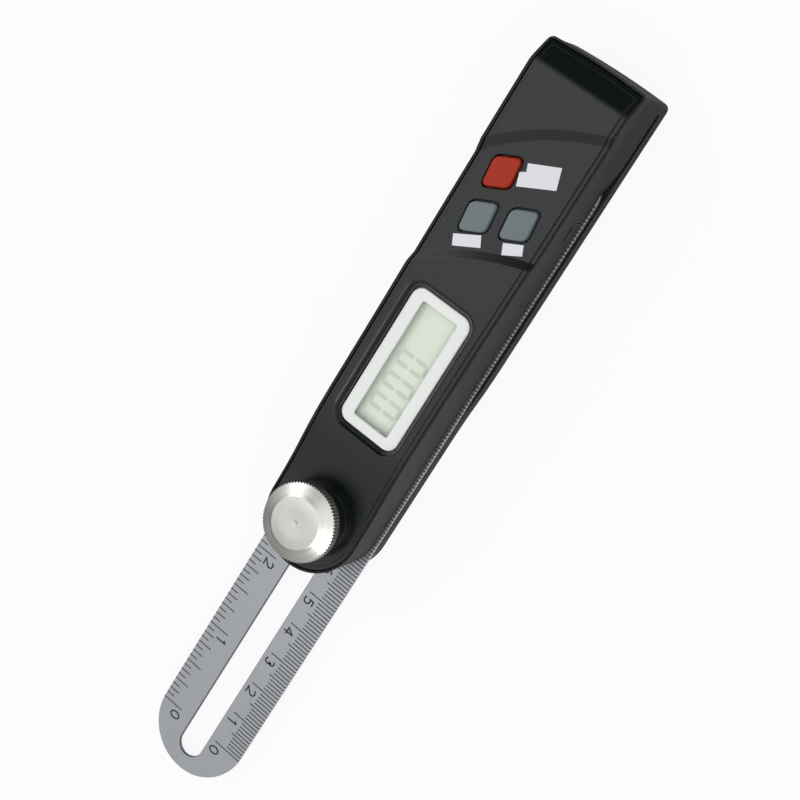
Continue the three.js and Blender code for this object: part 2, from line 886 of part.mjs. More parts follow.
/** Contact leaf under the cell, in a groove of the floor, with a strip up to the board. */
function lowerContact() {
  const low = floor_top - gap / 2 - contact_thickness;
  const half = contact_width / 2;
  const leaf = block(
    corner(tray_x - half, -contact_reach, low),
    corner(tray_x + half, contact_back + contact_thickness, low + contact_thickness),
  );
  const strip = block(
    corner(tray_x - half, contact_back, low),
    corner(tray_x + half, contact_back + contact_thickness, board_low - gap),
  );
  return leaf.add(strip);
}

// Pivot and blade

/** Bolt with a wide head under the blade, flats in its slot and a round stem for the knob. */
function clampBolt() {
  const head_top = blade_low - gap;
  const flat = neck_width / 2;
  const neck_half = neck_length / 2 - flat;
  const neck = slab(stadium(-neck_half, neck_half, flat), head_top - gap, neck_top);
  const drive = block(
    corner(-bolt_head_radius - gap, -bolt_drive_width / 2, -overrun),
    corner(bolt_head_radius + gap, bolt_drive_width / 2, bolt_head_recess + bolt_drive_depth),
  );
  return joined([
    rod(bolt_head_radius, bolt_head_recess, head_top),
    neck,
    rod(bolt_radius, neck_top - gap, bolt_top),
  ]).subtract(drive);
}

/** Rotor disc with a hub that rests on the blade and is keyed to the bolt's flats. */
function encoderRotor() {
  const flat = neck_width / 2 + gap;
  const neck_half = neck_length / 2 - neck_width / 2;
  const keyway = slab(stadium(-neck_half, neck_half, flat), box_low - gap, neck_top + gap);
  return joined([
    rod(hub_radius, box_low, rotor_high),
    rod(rotor_radius, rotor_low, rotor_high),
  ])
    .subtract(keyway)
    .subtract(rod(bolt_radius + gap, box_low, rotor_high + gap));
}

/** Ring-shaped sensor board over the rotor. */
function sensorBoard() {
  return rod(sensor_radius, sensor_low, sensor_high).subtract(
    rod(bushing_radius + gap, sensor_low - gap, sensor_high + gap),
  );
}

/** Flanged sleeve in the collar, in which the bolt turns. */
function pivotBushing() {
  const inner = bolt_radius + gap;
  return turned([
    [inner, bushing_low],
    [bushing_flange_radius, bushing_low],
    [bushing_flange_radius, bushing_low + bushing_flange],
    [bushing_radius, bushing_low + bushing_flange],
    [bushing_radius, collar_top],
    [inner, collar_top],
  ]);
}

/** Slotted steel blade with two round ends. */
function bladeBody() {
  const plate = slab(stadium(blade_near_x, blade_far_x, blade_radius), blade_low, blade_high);
  const slot = slab(
    stadium(blade_near_x - slot_inset, blade_far_x + slot_inset, slot_radius),
    blade_low - gap,
    blade_high + gap,
  );
  return plate.subtract(slot);
}

// Lock knob

function knobWasher() {
  const inner = bolt_radius + gap;
  const high = washer_low + washer_thickness;
  return turned([
    [inner, washer_low],
    [washer_radius, washer_low],
    [washer_radius, high],
    [inner, high],
  ]);
}

/** Outline of the knurled band, one small tooth after another. */
function knurlOutline() {
  const shape = new THREE.Shape();
  const step = Math.PI / knurl_teeth;
  for (let i = 0; i < 2 * knurl_teeth; i += 1) {
    const radius = i % 2 ? knob_radius - knurl_depth : knob_radius;
    const [x, y] = [radius * Math.cos(i * step), radius * Math.sin(i * step)];
    if (i === 0) shape.moveTo(x, y);
    else shape.lineTo(x, y);
  }
  return shape;
}

/** Turned steel knob: knurled band, cone and flat top, with a blind bore. */
function lockKnob() {
  const envelope = turned(
    [
      [0, knob_low],
      [knob_radius - knob_edge, knob_low],
      [knob_radius, knob_low + knob_edge],
      [knob_radius, knob_shoulder - knob_edge / 2],
      [knob_radius - knob_edge / 2, knob_shoulder],
      [knob_top_radius, knob_high],
      [0, knob_high],
    ],
    0,
    0,
    2 * round_steps,
  );
  const band = slab(knurlOutline(), knob_low - gap, knob_high + gap);
  const bore = rod(bolt_radius + gap, knob_low - gap, knob_high - knob_top_wall);
  return envelope.intersect(band).subtract(bore);
}

// Materials

function finish(color, roughness, metalness) {
  return new THREE.MeshStandardMaterial({ color, roughness, metalness });
}

const finishes = {
  housing: () => finish('#47474a', 0.55, 0),
  panel: () => finish('#2f3435', 0.42, 0),
  bezel: () => finish('#e9ecec', 0.4, 0),
  lens: () => {
    const clear = finish('#eef4ee', 0.05, 0);
    clear.transparent = true;
    clear.opacity = 0.25;
    return clear;
  },
  lcd: () => finish('#dbe7cf', 0.3, 0),
  rubber_strip: () => finish('#c98f9c', 0.7, 0),
  board: () => finish('#1f5a35', 0.5, 0),
  switch_case: () => finish('#2a2a2c', 0.5, 0),
  contact: () => finish('#c9c3a6', 0.3, 1),
  screw: () => finish('#8d9094', 0.35, 1),
  brass: () => finish('#b99a4e', 0.35, 1),
  bolt: () => finish('#9a9da0', 0.35, 1),
  rotor: () => finish('#2b4a63', 0.5, 0),
  blade: () => finish('#b4b8bc', 0.32, 1),
  knob: () => finish('#cdd1cc', 0.25, 1),
  cell: () => finish('#c4c7ca', 0.25, 1),
  red_rubber: () => finish('#b23a26', 0.55, 0),
  grey_rubber: () => finish('#7f898d', 0.6, 0),
};

// Assembly

function screwPieces() {
  const seat_low = box_low + gap + panel_screw_head;
  const panel = panel_screws.map((place, index) =>
    piece(
      `panel_screw_${index + 1}`,
      screw(
        place,
        seat_low,
        -1,
        panel_screw_head_radius,
        panel_screw_head,
        panel_screw_radius,
        panel_screw_length,
      ),
      finishes.screw(),
    ),
  );
  const board = board_screws.map((place, index) =>
    piece(
      `board_screw_${index + 1}`,
      screw(
        place,
        board_high + gap,
        1,
        board_screw_head_radius,
        board_screw_head,
        board_screw_radius,
        board_screw_length,
      ),
      finishes.screw(),
    ),
  );
  return [...panel, ...board];
}

function handleGroup() {
  const group = new THREE.Group();
  group.add(
    piece('handle_body', handleBody(), finishes.housing()),
    piece('face_panel', facePanel(), finishes.panel()),
    piece('display_bezel', displayBezel(), finishes.bezel()),
    piece('display_lens', pocketPlate(lens_low, lens_high), finishes.lens()),
    piece('lcd_glass', pocketPlate(lcd_low, lcd_high), finishes.lcd()),
    piece('lcd_connector_left', lcdConnector(1), finishes.rubber_strip()),
    piece('lcd_connector_right', lcdConnector(-1), finishes.rubber_strip()),
    piece('main_board', mainBoard(), finishes.board()),
    piece('sensor_board', sensorBoard(), finishes.board()),
    piece('pivot_bushing', pivotBushing(), finishes.brass()),
    piece('contact_upper', upperContact(), finishes.contact()),
    piece('contact_lower', lowerContact(), finishes.contact()),
    ...screwPieces(),
  );
  for (const place of buttons) {
    const rubber = place.name === 'power' ? finishes.red_rubber() : finishes.grey_rubber();
    group.add(piece(`switch_${place.name}`, pushSwitch(place), finishes.switch_case()));
    group.add(piece(`button_${place.name}`, button(place), rubber));
  }
  return group;
}

function batteryGroup() {
  const group = new THREE.Group();
  group.add(
    piece('battery_tray', batteryTray(), finishes.housing()),
    piece('coin_cell', coinCell(), finishes.cell()),
  );
  return group;
}

function pivotGroup() {
  const group = new THREE.Group();
  group.add(
    piece('clamp_bolt', clampBolt(), finishes.bolt()),
    piece('encoder_rotor', encoderRotor(), finishes.rotor()),
    piece('blade', bladeBody(), finishes.blade()),
    piece('knob_washer', knobWasher(), finishes.screw()),
    piece('lock_knob', lockKnob(), finishes.knob()),
  );
  return group;
}

const angle_finder = new THREE.Group();
angle_finder.add(handleGroup(), batteryGroup(), pivotGroup());
angle_finder.position.x = -(blade_tip_x + handle_end_x) / 2;

export default angle_finder;
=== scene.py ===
"""Dressed scene of a digital angle finder with a sliding, slotted steel blade.

Sizes in the classes are millimetres measured from the pivot axis and the underside of the handle.
+X runs along the handle to its far end, +Y is the side of the inch scale and +Z is up.
"""

import logging
import math
from collections.abc import Iterable, Sequence
from dataclasses import dataclass, field, replace
from enum import Enum
from functools import partialmethod

import bmesh
import bpy
from mathutils import Matrix, Vector


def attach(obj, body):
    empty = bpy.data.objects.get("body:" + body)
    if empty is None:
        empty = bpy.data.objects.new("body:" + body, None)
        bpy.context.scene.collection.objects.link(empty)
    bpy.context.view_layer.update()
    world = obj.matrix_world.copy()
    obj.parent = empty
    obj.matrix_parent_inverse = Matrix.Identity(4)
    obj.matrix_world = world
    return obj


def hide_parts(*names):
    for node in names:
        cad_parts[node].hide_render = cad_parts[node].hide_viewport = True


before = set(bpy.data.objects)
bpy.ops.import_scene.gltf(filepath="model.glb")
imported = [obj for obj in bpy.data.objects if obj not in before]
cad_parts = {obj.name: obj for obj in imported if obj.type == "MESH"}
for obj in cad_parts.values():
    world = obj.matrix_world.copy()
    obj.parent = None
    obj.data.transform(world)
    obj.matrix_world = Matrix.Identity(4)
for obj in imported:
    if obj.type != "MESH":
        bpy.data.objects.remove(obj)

log = logging.getLogger("angle_finder")

Point2 = tuple[float, float]
Colour = tuple[float, float, float]
Outline = list[Point2]
Mesh = bpy.types.Mesh
Node = bpy.types.Node
Socket = bpy.types.NodeSocket
Tree = bpy.types.NodeTree

MILLIMETRE = 0.001
PIVOT_X = -21.49
PLACE = Matrix.Scale(MILLIMETRE, 4) @ Matrix.Translation((PIVOT_X, 0.0, 0.0))
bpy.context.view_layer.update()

# Cutting bodies reach these places, which lie outside the handle on every side.
NEAR_REACH, FAR_REACH, SIDE_REACH = -20.0, 140.0, 20.0
LOW_REACH, HIGH_REACH = -6.0, 30.0


# Curves and outlines


def arc(x: float, y: float, radius: float, start: float, stop: float, steps: int) -> Outline:
    """Points of an arc, both ends included.

    Args:
        x: Centre along the handle.
        y: Centre across the handle.
        radius: Radius of the arc.
        start: First direction in degrees.
        stop: Last direction in degrees.
        steps: Number of chords.

    Returns:
        The points.
    """
    turns = [math.radians(start + (stop - start) * i / steps) for i in range(steps + 1)]
    return [(x + radius * math.cos(turn), y + radius * math.sin(turn)) for turn in turns]


def bezier(controls: Sequence[Point2], steps: int) -> Outline:
    """Points of a Bezier curve of any degree, both ends included.

    Args:
        controls: Control points.
        steps: Number of chords.

    Returns:
        The points.
    """
    points = []
    for i in range(steps + 1):
        level = [Vector(control) for control in controls]
        while len(level) > 1:
            level = [a.lerp(b, i / steps) for a, b in zip(level, level[1:])]
        points.append((level[0].x, level[0].y))
    return points


def stadium(start: float, stop: float, radius: float, steps: int = 48) -> Outline:
    """A long outline with round ends about two centres on the middle line."""
    return arc(start, 0.0, radius, 90.0, 270.0, steps) + arc(stop, 0.0, radius, -90.0, 90.0, steps)


# Levels, plans and stations that several sub-assemblies share


@dataclass(frozen=True)
class Levels:
    """Heights of the stack above the underside."""

    gap: float = 0.3
    base_top: float = 3.6
    blade_low: float = 3.9
    blade_high: float = 5.1
    box_low: float = 5.4
    floor_top: float = 7.0
    board_low: float = 12.4
    panel_tail_low: float = 14.6
    panel_near_low: float = 16.2
    tail: float = 16.9
    panel_low: float = 17.8
    pivot_face: float = 18.0
    bezel_high: float = 19.2
    field_floor: float = 19.4
    face: float = 20.6
    collar_top: float = 21.4
    knob_low: float = 22.5


@dataclass(frozen=True)
class Plan:
    """The handle seen from above at one level."""

    arc_offset: float
    near: float
    far: float
    flare_start: float
    flare_stop: float
    end: float
    corner: float = 1.8
    least_corner: float = 0.54
    bow: float = 0.7

    def outline(self, inset: float = 0.0) -> Outline:
        """The plan drawn in by a distance, counter-clockwise.

        Args:
            inset: Distance by which it is drawn in.

        Returns:
            The outline.
        """
        near, far, end = self.near - inset, self.far - inset, self.end - inset
        turn = max(self.corner - inset, self.least_corner)
        start, stop = self.flare_start, self.flare_stop
        middle = (start + stop) / 2
        points = arc(-self.arc_offset, 0.0, near, 90.0, 270.0, 72)
        points += bezier([(start, -near), (middle, -near), (middle, -far), (stop, -far)], 20)
        points += bezier([(end - turn, -far), (end, -far), (end, turn - far)], 8)
        points += bezier([(end, turn - far), (end + self.bow, 0.0), (end, far - turn)], 20)[1:-1]
        points += bezier([(end, far - turn), (end, far), (end - turn, far)], 8)
        return points + bezier([(stop, far), (middle, far), (middle, near), (start, near)], 20)


@dataclass(frozen=True)
class Corners:
    """Four screw places at the corners of a rectangle about the middle line."""

    near: float
    far: float
    side: float

    def spots(self) -> Outline:
        """The four places."""
        return [(x, y) for y in (-self.side, self.side) for x in (self.near, self.far)]


LEVEL = Levels()
BOX_PLAN = Plan(arc_offset=0.15, near=13.4, far=13.7, flare_start=30.0, flare_stop=100.0, end=126.9)
BASE_PLAN = Plan(arc_offset=0.8, near=13.65, far=14.2, flare_start=31.0, flare_stop=55.0, end=126.7)
PANEL_SCREWS = Corners(near=14.6, far=117.0, side=8.3)
BOARD_SCREWS = Corners(near=22.5, far=108.5, side=8.2)

# Stations of the face and of the panel's underside along the handle.
RISE_START, RISE_MIDDLE, RISE_STOP = -2.0, 15.0, 32.0
SHOULDER_START, SHOULDER_MIDDLE, SHOULDER_STOP, SHOULDER_DROP = 119.0, 120.2, 121.4, 0.653
UNDER_RISE_START, UNDER_RISE_STOP, UNDER_FALL_START = 10.0, 14.0, 119.6
TAIL_START = 127.0


# Closed bodies


class Solid:
    """A closed body in millimetres, measured from the pivot axis."""

    WELD = 0.00005

    def __init__(self, mesh: Mesh) -> None:
        """Keeps the mesh of the body."""
        self.mesh = mesh

    @classmethod
    def from_faces(cls, points: Iterable[Sequence[float]], faces: Iterable[Sequence[int]]) -> "Solid":
        """A body from its points and faces, with its normals turned outwards.

        Args:
            points: Corners of the body.
            faces: Corner numbers of each face.

        Returns:
            The body.
        """
        mesh = bpy.data.meshes.new("body")
        mesh.from_pydata([tuple(point) for point in points], [], [tuple(face) for face in faces])
        shape = bmesh.new()
        shape.from_mesh(mesh)
        bmesh.ops.remove_doubles(shape, verts=shape.verts, dist=cls.WELD)
        bmesh.ops.dissolve_degenerate(shape, edges=shape.edges, dist=cls.WELD)
        bmesh.ops.recalc_face_normals(shape, faces=shape.faces)
        shape.to_mesh(mesh)
        shape.free()
        return cls(mesh)

    @classmethod
    def loft(cls, rings: Sequence[Sequence[Sequence[float]]]) -> "Solid":
        """A body between rings of equal count, closed by a flat face at both ends.

        Args:
            rings: Rings of points, one above the other.

        Returns:
            The body.
        """
        count = len(rings[0])
        faces: list[Sequence[int]] = [list(range(count))[::-1]]
        for low in range(0, (len(rings) - 1) * count, count):
            for i in range(count):
                j = (i + 1) % count
                faces.append((low + i, low + j, low + count + j, low + count + i))
        faces.append([(len(rings) - 1) * count + i for i in range(count)])
        return cls.from_faces([point for ring in rings for point in ring], faces)

    @classmethod
    def stack(cls, levels: Iterable[tuple[Outline, float]]) -> "Solid":
        """A body from flat outlines of equal count at rising heights."""
        return cls.loft([[(x, y, z) for x, y in outline] for outline, z in levels])

    @classmethod
    def slab(cls, outline: Outline, low: float, high: float) -> "Solid":
        """An outline raised from one height to another."""
        return cls.stack([(outline, low), (outline, high)])

    @classmethod
    def side_sweep(cls, line: Outline) -> "Solid":
        """A side view, drawn in X and Z, swept across the whole handle."""
        return cls.loft([[(x, y, z) for x, z in line] for y in (SIDE_REACH, -SIDE_REACH)])

    @classmethod
    def block(cls, low: Sequence[float], high: Sequence[float]) -> "Solid":
        """A box given by its two corners."""
        outline = [(low[0], low[1]), (high[0], low[1]), (high[0], high[1]), (low[0], high[1])]
        return cls.slab(outline, low[2], high[2])

    @classmethod
    def turned(cls, profile: Outline, steps: int = 96) -> "Solid":
        """A body of revolution about the pivot axis.

        Args:
            profile: Closed profile of radius and height.
            steps: Number of facets round the axis.

        Returns:
            The body.
        """
        count = len(profile)
        points, faces = [], []
        for i in range(steps):
            turn = 2 * math.pi * i / steps
            points += [(radius * math.cos(turn), radius * math.sin(turn), z) for radius, z in profile]
            this, after = i * count, ((i + 1) % steps) * count
            for k in range(count):
                m = (k + 1) % count
                faces.append((this + k, after + k, after + m, this + m))
        return cls.from_faces(points, faces)

    @classmethod
    def rod(cls, radius: float, low: float, high: float, x: float = 0.0, y: float = 0.0) -> "Solid":
        """A full cylinder between two heights."""
        return cls.slab(arc(x, y, radius, 0.0, 360.0, 64)[:-1], low, high)

    def _combined(self, others: Sequence["Solid"], operation: str) -> "Solid":
        """The body after one boolean operation with each of the others.

        Args:
            others: Bodies to combine with.
            operation: Name of the boolean operation.

        Returns:
            The new body.
        """
        holder = bpy.data.objects.new("whole", self.mesh)
        used = [holder]
        for other in others:
            tool = bpy.data.objects.new("tool", other.mesh)
            used.append(tool)
            step = holder.modifiers.new("step", "BOOLEAN")
            step.operation, step.object, step.solver = operation, tool, "MANIFOLD"
        for item in used:
            bpy.context.collection.objects.link(item)
        mesh = settled_mesh(holder)
        for item in used:
            bpy.data.objects.remove(item)
        return Solid(mesh)

    def add(self, *others: "Solid") -> "Solid":
        """This body joined with others."""
        return self._combined(others, "UNION")

    def cut(self, *others: "Solid") -> "Solid":
        """This body less others."""
        return self._combined(others, "DIFFERENCE")

    def keep(self, *others: "Solid") -> "Solid":
        """What this body shares with each of the others."""
        return self._combined(others, "INTERSECT")


def settled_mesh(holder: bpy.types.Object) -> Mesh:
    """A plain mesh of what an object's modifiers make."""
    graph = bpy.context.evaluated_depsgraph_get()
    return bpy.data.meshes.new_from_object(holder.evaluated_get(graph))


def side_by_side(bodies: Iterable[Solid]) -> Mesh:
    """One mesh of bodies that stay apart.

    Args:
        bodies: The bodies.

    Returns:
        The mesh.
    """
    shape = bmesh.new()
    for body in bodies:
        shape.from_mesh(body.mesh)
    mesh = bpy.data.meshes.new("side_by_side")
    shape.to_mesh(mesh)
    shape.free()
    return mesh


def below_top(drop: float) -> Solid:
    """Everything of the handle below its top line.

    Args:
        drop: Distance by which the line is lowered.

    Returns:
        The body.
    """
    face, pivot, tail = LEVEL.face - drop, LEVEL.pivot_face - drop, LEVEL.tail - drop
    shoulder = bezier(
        [(SHOULDER_STOP, face - SHOULDER_DROP), (SHOULDER_MIDDLE, face), (SHOULDER_START, face)], 10)
    rise = bezier([(RISE_STOP, face), (RISE_MIDDLE, face), (RISE_MIDDLE, pivot), (RISE_START, pivot)], 40)
    line = [(FAR_REACH, tail), (TAIL_START, tail), *shoulder, *rise, (NEAR_REACH, pivot)]
    return Solid.side_sweep([(NEAR_REACH, LOW_REACH), (FAR_REACH, LOW_REACH), *line])


def above_panel(drop: float) -> Solid:
    """Everything of the handle above the panel's underside.

    Args:
        drop: Distance by which the underside is lowered.

    Returns:
        The body.
    """
    near, low, tail = LEVEL.panel_near_low - drop, LEVEL.panel_low - drop, LEVEL.panel_tail_low - drop
    line = [(NEAR_REACH, near), (UNDER_RISE_START, near), (UNDER_RISE_STOP, low), (UNDER_FALL_START, low)]
    line += [(TAIL_START, tail), (FAR_REACH, tail), (FAR_REACH, HIGH_REACH), (NEAR_REACH, HIGH_REACH)]
    return Solid.side_sweep(line)


def place_piece(name: str, mesh: Mesh, finish: "Finish", body: str, nodes: Sequence[str] = (),
                smooth: float = 30.0, weighted: bool = True) -> bpy.types.Object:
    """Turns a mesh in millimetres into a finished piece of the scene.

    Args:
        name: Name of the piece.
        mesh: Mesh in millimetres from the pivot axis.
        finish: Finish that dresses it.
        body: Moving body that carries it.
        nodes: Plain nodes that it stands for.
        smooth: Angle in degrees above which an edge stays sharp.
        weighted: Whether large faces set the shading normals.

    Returns:
        The placed object.
    """
    mesh.transform(PLACE)
    mesh.materials.clear()
    mesh.materials.append(finish.material())
    mesh.shade_smooth()
    mesh.set_sharp_from_angle(angle=math.radians(smooth))
    piece = bpy.data.objects.new(name, mesh)
    bpy.context.collection.objects.link(piece)
    if weighted:
        piece.modifiers.new("normals", "WEIGHTED_NORMAL").keep_sharp = True
        settled = settled_mesh(piece)
        piece.modifiers.clear()
        piece.data = settled
    piece.data.name = name
    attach(piece, body)
    if nodes:
        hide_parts(*nodes)
    log.info("%s: %d faces on %s", name, len(piece.data.polygons), body)
    return piece


# Node trees


class Sheet:
    """A node tree with short calls that add nodes and join sockets."""

    def __init__(self, tree: Tree) -> None:
        """Keeps the tree."""
        self.tree = tree

    def fill(self, node: Node, inputs: dict) -> None:
        """Joins sockets to a node's inputs, or sets their values.

        Args:
            node: Node to fill.
            inputs: Values or sockets by input name or number.
        """
        for key, value in inputs.items():
            if isinstance(value, Socket):
                self.tree.links.new(value, node.inputs[key])
            else:
                node.inputs[key].default_value = value

    def add(self, kind: str, inputs: dict | None = None, **settings: object) -> Node:
        """Adds a node.

        Args:
            kind: Blender's name of the node type.
            inputs: Values or sockets by input name or number.
            settings: Properties of the node.

        Returns:
            The node.
        """
        node = self.tree.nodes.new(kind)
        for key, value in settings.items():
            setattr(node, key, value)
        self.fill(node, inputs or {})
        return node

    def math(self, operation: str, first: object, *others: object) -> Socket:
        """The result of one operation on numbers or sockets, taken from the left.

        Args:
            operation: Name of the operation.
            first: First number or socket.
            others: The numbers or sockets that follow.

        Returns:
            The result.
        """
        result = first
        for rest in [(other,) for other in others] or [()]:
            inputs = dict(enumerate((result, *rest)))
            result = self.add("ShaderNodeMath", inputs, operation=operation).outputs[0]
        return result

    plus = partialmethod(math, "ADD")
    less = partialmethod(math, "SUBTRACT")
    times = partialmethod(math, "MULTIPLY")

    def vector(self, x: object = 0.0, y: object = 0.0, z: object = 0.0) -> Socket:
        """A vector of three numbers or sockets."""
        return self.add("ShaderNodeCombineXYZ", {0: x, 1: y, 2: z}).outputs[0]

    def place(self, kind: str = "Object") -> Socket:
        """The shaded place, or its direction."""
        return self.add("ShaderNodeTexCoord").outputs[kind]

    def axes(self, vector: Socket) -> list[Socket]:
        """X, Y and Z of a vector."""
        return list(self.add("ShaderNodeSeparateXYZ", {0: vector}).outputs)

    def noise(self, vector: Socket, scale: object, detail: float) -> Socket:
        """Noise along a vector."""
        return self.add("ShaderNodeTexNoise", {"Vector": vector, "Scale": scale, "Detail": detail}).outputs[0]

    def ramp(self, factor: Socket, low: float, high: float) -> Socket:
        """A mask that goes from 0 at low to 1 at high."""
        node = self.add("ShaderNodeMapRange", {"Value": factor, "From Min": low, "From Max": high})
        return node.outputs["Result"]

    def dimmed(self, mask: Socket, depth: object) -> Socket:
        """1 where the mask is 0, and less by the depth where it is 1."""
        return self.less(1.0, self.times(mask, depth))

    def blend(self, mask: Socket, first: object, second: object) -> Socket:
        """A colour between two, by a mask.

        Args:
            mask: 0 for the first colour and 1 for the second.
            first: Colour or socket.
            second: Colour or socket.

        Returns:
            The colour.
        """
        ends = [(*value, 1.0) if isinstance(value, tuple) else value for value in (first, second)]
        return self.add("ShaderNodeMix", {0: mask, 6: ends[0], 7: ends[1]}, data_type="RGBA").outputs[2]


class Effect(Enum):
    """Shared shader effects, each built once as a node group."""

    GRAIN = "moulded_grain"
    HANDLING = "handling_marks"
    BRUSH = "brushed_lines"
    RINGS = "turned_rings"
    EDGE = "rounded_edges"


class EffectLibrary:
    """Builds the shared shader groups when they are first asked for."""

    def __init__(self) -> None:
        """Starts with no group built."""
        self._built: dict[Effect, Tree] = {}

    def group(self, effect: Effect) -> Tree:
        """The node group of an effect, built when it is first asked for.

        Args:
            effect: The effect.

        Returns:
            Its group.
        """
        if effect not in self._built:
            self._built[effect] = getattr(self, f"_{effect.name.lower()}")()
        return self._built[effect]

    def _start(self, effect: Effect, **inputs: float) -> tuple[Sheet, dict[str, Socket]]:
        """Starts a group.

        Args:
            effect: Effect that the group makes.
            inputs: Default number of each input by name.

        Returns:
            The sheet, and the input sockets by name.
        """
        tree = bpy.data.node_groups.new(effect.value, "ShaderNodeTree")
        for name, value in inputs.items():
            socket = tree.interface.new_socket(name, in_out="INPUT", socket_type="NodeSocketFloat")
            socket.default_value = value
        sheet = Sheet(tree)
        given = sheet.add("NodeGroupInput")
        return sheet, {name: given.outputs[name] for name in inputs}

    def _end(self, sheet: Sheet, **outputs: Socket) -> Tree:
        """Ends a group.

        Args:
            sheet: Sheet of the group.
            outputs: Result of each output by name.

        Returns:
            The finished group.
        """
        for name, socket in outputs.items():
            kind = "NodeSocketVector" if socket.type == "VECTOR" else "NodeSocketFloat"
            sheet.tree.interface.new_socket(name, in_out="OUTPUT", socket_type=kind)
        sheet.add("NodeGroupOutput", outputs)
        return sheet.tree

    def _grain(self) -> Tree:
        """Fine moulded grain with slow changes of gloss and tone.

        Returns:
            The group.
        """
        sheet, given = self._start(Effect.GRAIN, Scale=5000.0, Roughness=0.4, Swing=0.1)
        place = sheet.place()
        fine, slow = sheet.noise(place, given["Scale"], 2.0), sheet.noise(place, 55.0, 3.0)
        swings = [sheet.times(sheet.less(noise, 0.5), given["Swing"]) for noise in (slow, fine)]
        return self._end(sheet, Height=fine, Roughness=sheet.plus(given["Roughness"], *swings), Tone=slow)

    def _handling(self) -> Tree:
        """Fine dust specks and short scuffs from handling.

        Returns:
            The group.
        """
        sheet, given = self._start(Effect.HANDLING, Scale=900.0, Amount=0.5)
        place = sheet.place()
        specks = sheet.add("ShaderNodeTexVoronoi", {"Vector": place, "Scale": given["Scale"]})
        speck = sheet.ramp(specks.outputs["Distance"], 0.16, 0.05)
        where = sheet.ramp(sheet.noise(place, 40.0, 4.0), 0.52, 0.7)
        stretch = {"Vector": place, "Rotation": (0.0, 0.0, 0.6), "Scale": (60, 1600, 400)}
        lines = sheet.noise(sheet.add("ShaderNodeMapping", stretch).outputs[0], 1.0, 1.0)
        scuff = sheet.times(sheet.ramp(lines, 0.66, 0.74), given["Amount"])
        return self._end(sheet, Dust=sheet.times(speck, where, given["Amount"]), Scuff=scuff)

    def _brush(self) -> Tree:
        """Straight lines of a brushed sheet, along X.

        Returns:
            The group.
        """
        sheet, given = self._start(Effect.BRUSH, Scale=9000.0)
        stretch = {"Vector": sheet.place(), "Scale": sheet.vector(90.0, given["Scale"], 90.0)}
        laid = sheet.add("ShaderNodeMapping", stretch).outputs[0]
        lines, wide = sheet.noise(laid, 1.0, 3.0), sheet.noise(laid, 0.12, 2.0)
        tone = sheet.plus(sheet.times(lines, 0.6), sheet.times(wide, 0.4))
        return self._end(sheet, Height=lines, Tone=tone)

    def _rings(self) -> Tree:
        """Fine rings of a lathe tool about the pivot axis.

        Returns:
            The group.
        """
        sheet, given = self._start(Effect.RINGS, Scale=9000.0)
        x, y, z = sheet.axes(sheet.place())
        dx = sheet.less(x, PIVOT_X * MILLIMETRE)
        square = sheet.plus(sheet.times(dx, dx), sheet.times(y, y))
        line = sheet.vector(sheet.math("SQRT", square), 0.0, sheet.times(z, 0.4))
        fine, wide = sheet.noise(line, given["Scale"], 2.0), sheet.noise(line, 2600.0, 3.0)
        return self._end(sheet, Height=fine, Tone=wide)

    def _edge(self) -> Tree:
        """Softly rounded edges, and a mask that is 1 along them.

        Returns:
            The group.
        """
        sheet, given = self._start(Effect.EDGE, Radius=0.0003)
        soft = sheet.add("ShaderNodeBevel", {"Radius": given["Radius"]}, samples=4).outputs[0]
        straight = sheet.add("ShaderNodeNewGeometry").outputs["Normal"]
        dot = sheet.add("ShaderNodeVectorMath", {0: soft, 1: straight}, operation="DOT_PRODUCT")
        return self._end(sheet, Normal=soft, Edge=sheet.ramp(dot.outputs["Value"], 0.995, 0.85))


EFFECTS = EffectLibrary()
MADE: dict[str, bpy.types.Material] = {}


def tinted(colour: Colour, factor: float, lift: float = 0.0) -> Colour:
    """A colour made darker or lighter, at most white."""
    return tuple(min(channel * factor + lift, 1.0) for channel in colour)


@dataclass(frozen=True)
class Finish:
    """What every finish has: a name, a colour and a gloss."""

    name: str
    colour: Colour
    roughness: float

    def material(self) -> bpy.types.Material:
        """The material, built when it is first asked for.

        Returns:
            The material.
        """
        if self.name not in MADE:
            made = MADE[self.name] = bpy.data.materials.new(self.name)
            made.use_nodes = True
            made.diffuse_color = (*self.colour, 1.0)
            made.node_tree.nodes.clear()
            sheet = Sheet(made.node_tree)
            base = {"Base Color": (*self.colour, 1.0), "Roughness": self.roughness}
            shader = sheet.add("ShaderNodeBsdfPrincipled", base)
            sheet.add("ShaderNodeOutputMaterial", {"Surface": shader.outputs[0]})
            self.dress(sheet, shader)
        return MADE[self.name]

    def effect(self, sheet: Sheet, effect: Effect, **values: float) -> bpy.types.NodeOutputs:
        """Places a shared effect with its own input values, and gives its outputs."""
        return sheet.add("ShaderNodeGroup", values, node_tree=EFFECTS.group(effect)).outputs

    def bump(self, sheet: Sheet, shader: Node, height: Socket, depth: float, **normal: Socket) -> None:
        """Adds a bump of a depth in metres to the shader, over a normal if one is given."""
        bump = sheet.add("ShaderNodeBump", {"Height": height, "Distance": depth, "Strength": 1.0, **normal})
        sheet.fill(shader, {"Normal": bump.outputs[0]})

    def dress(self, sheet: Sheet, shader: Node) -> None:
        """Adds the finish's own detail to the shader."""


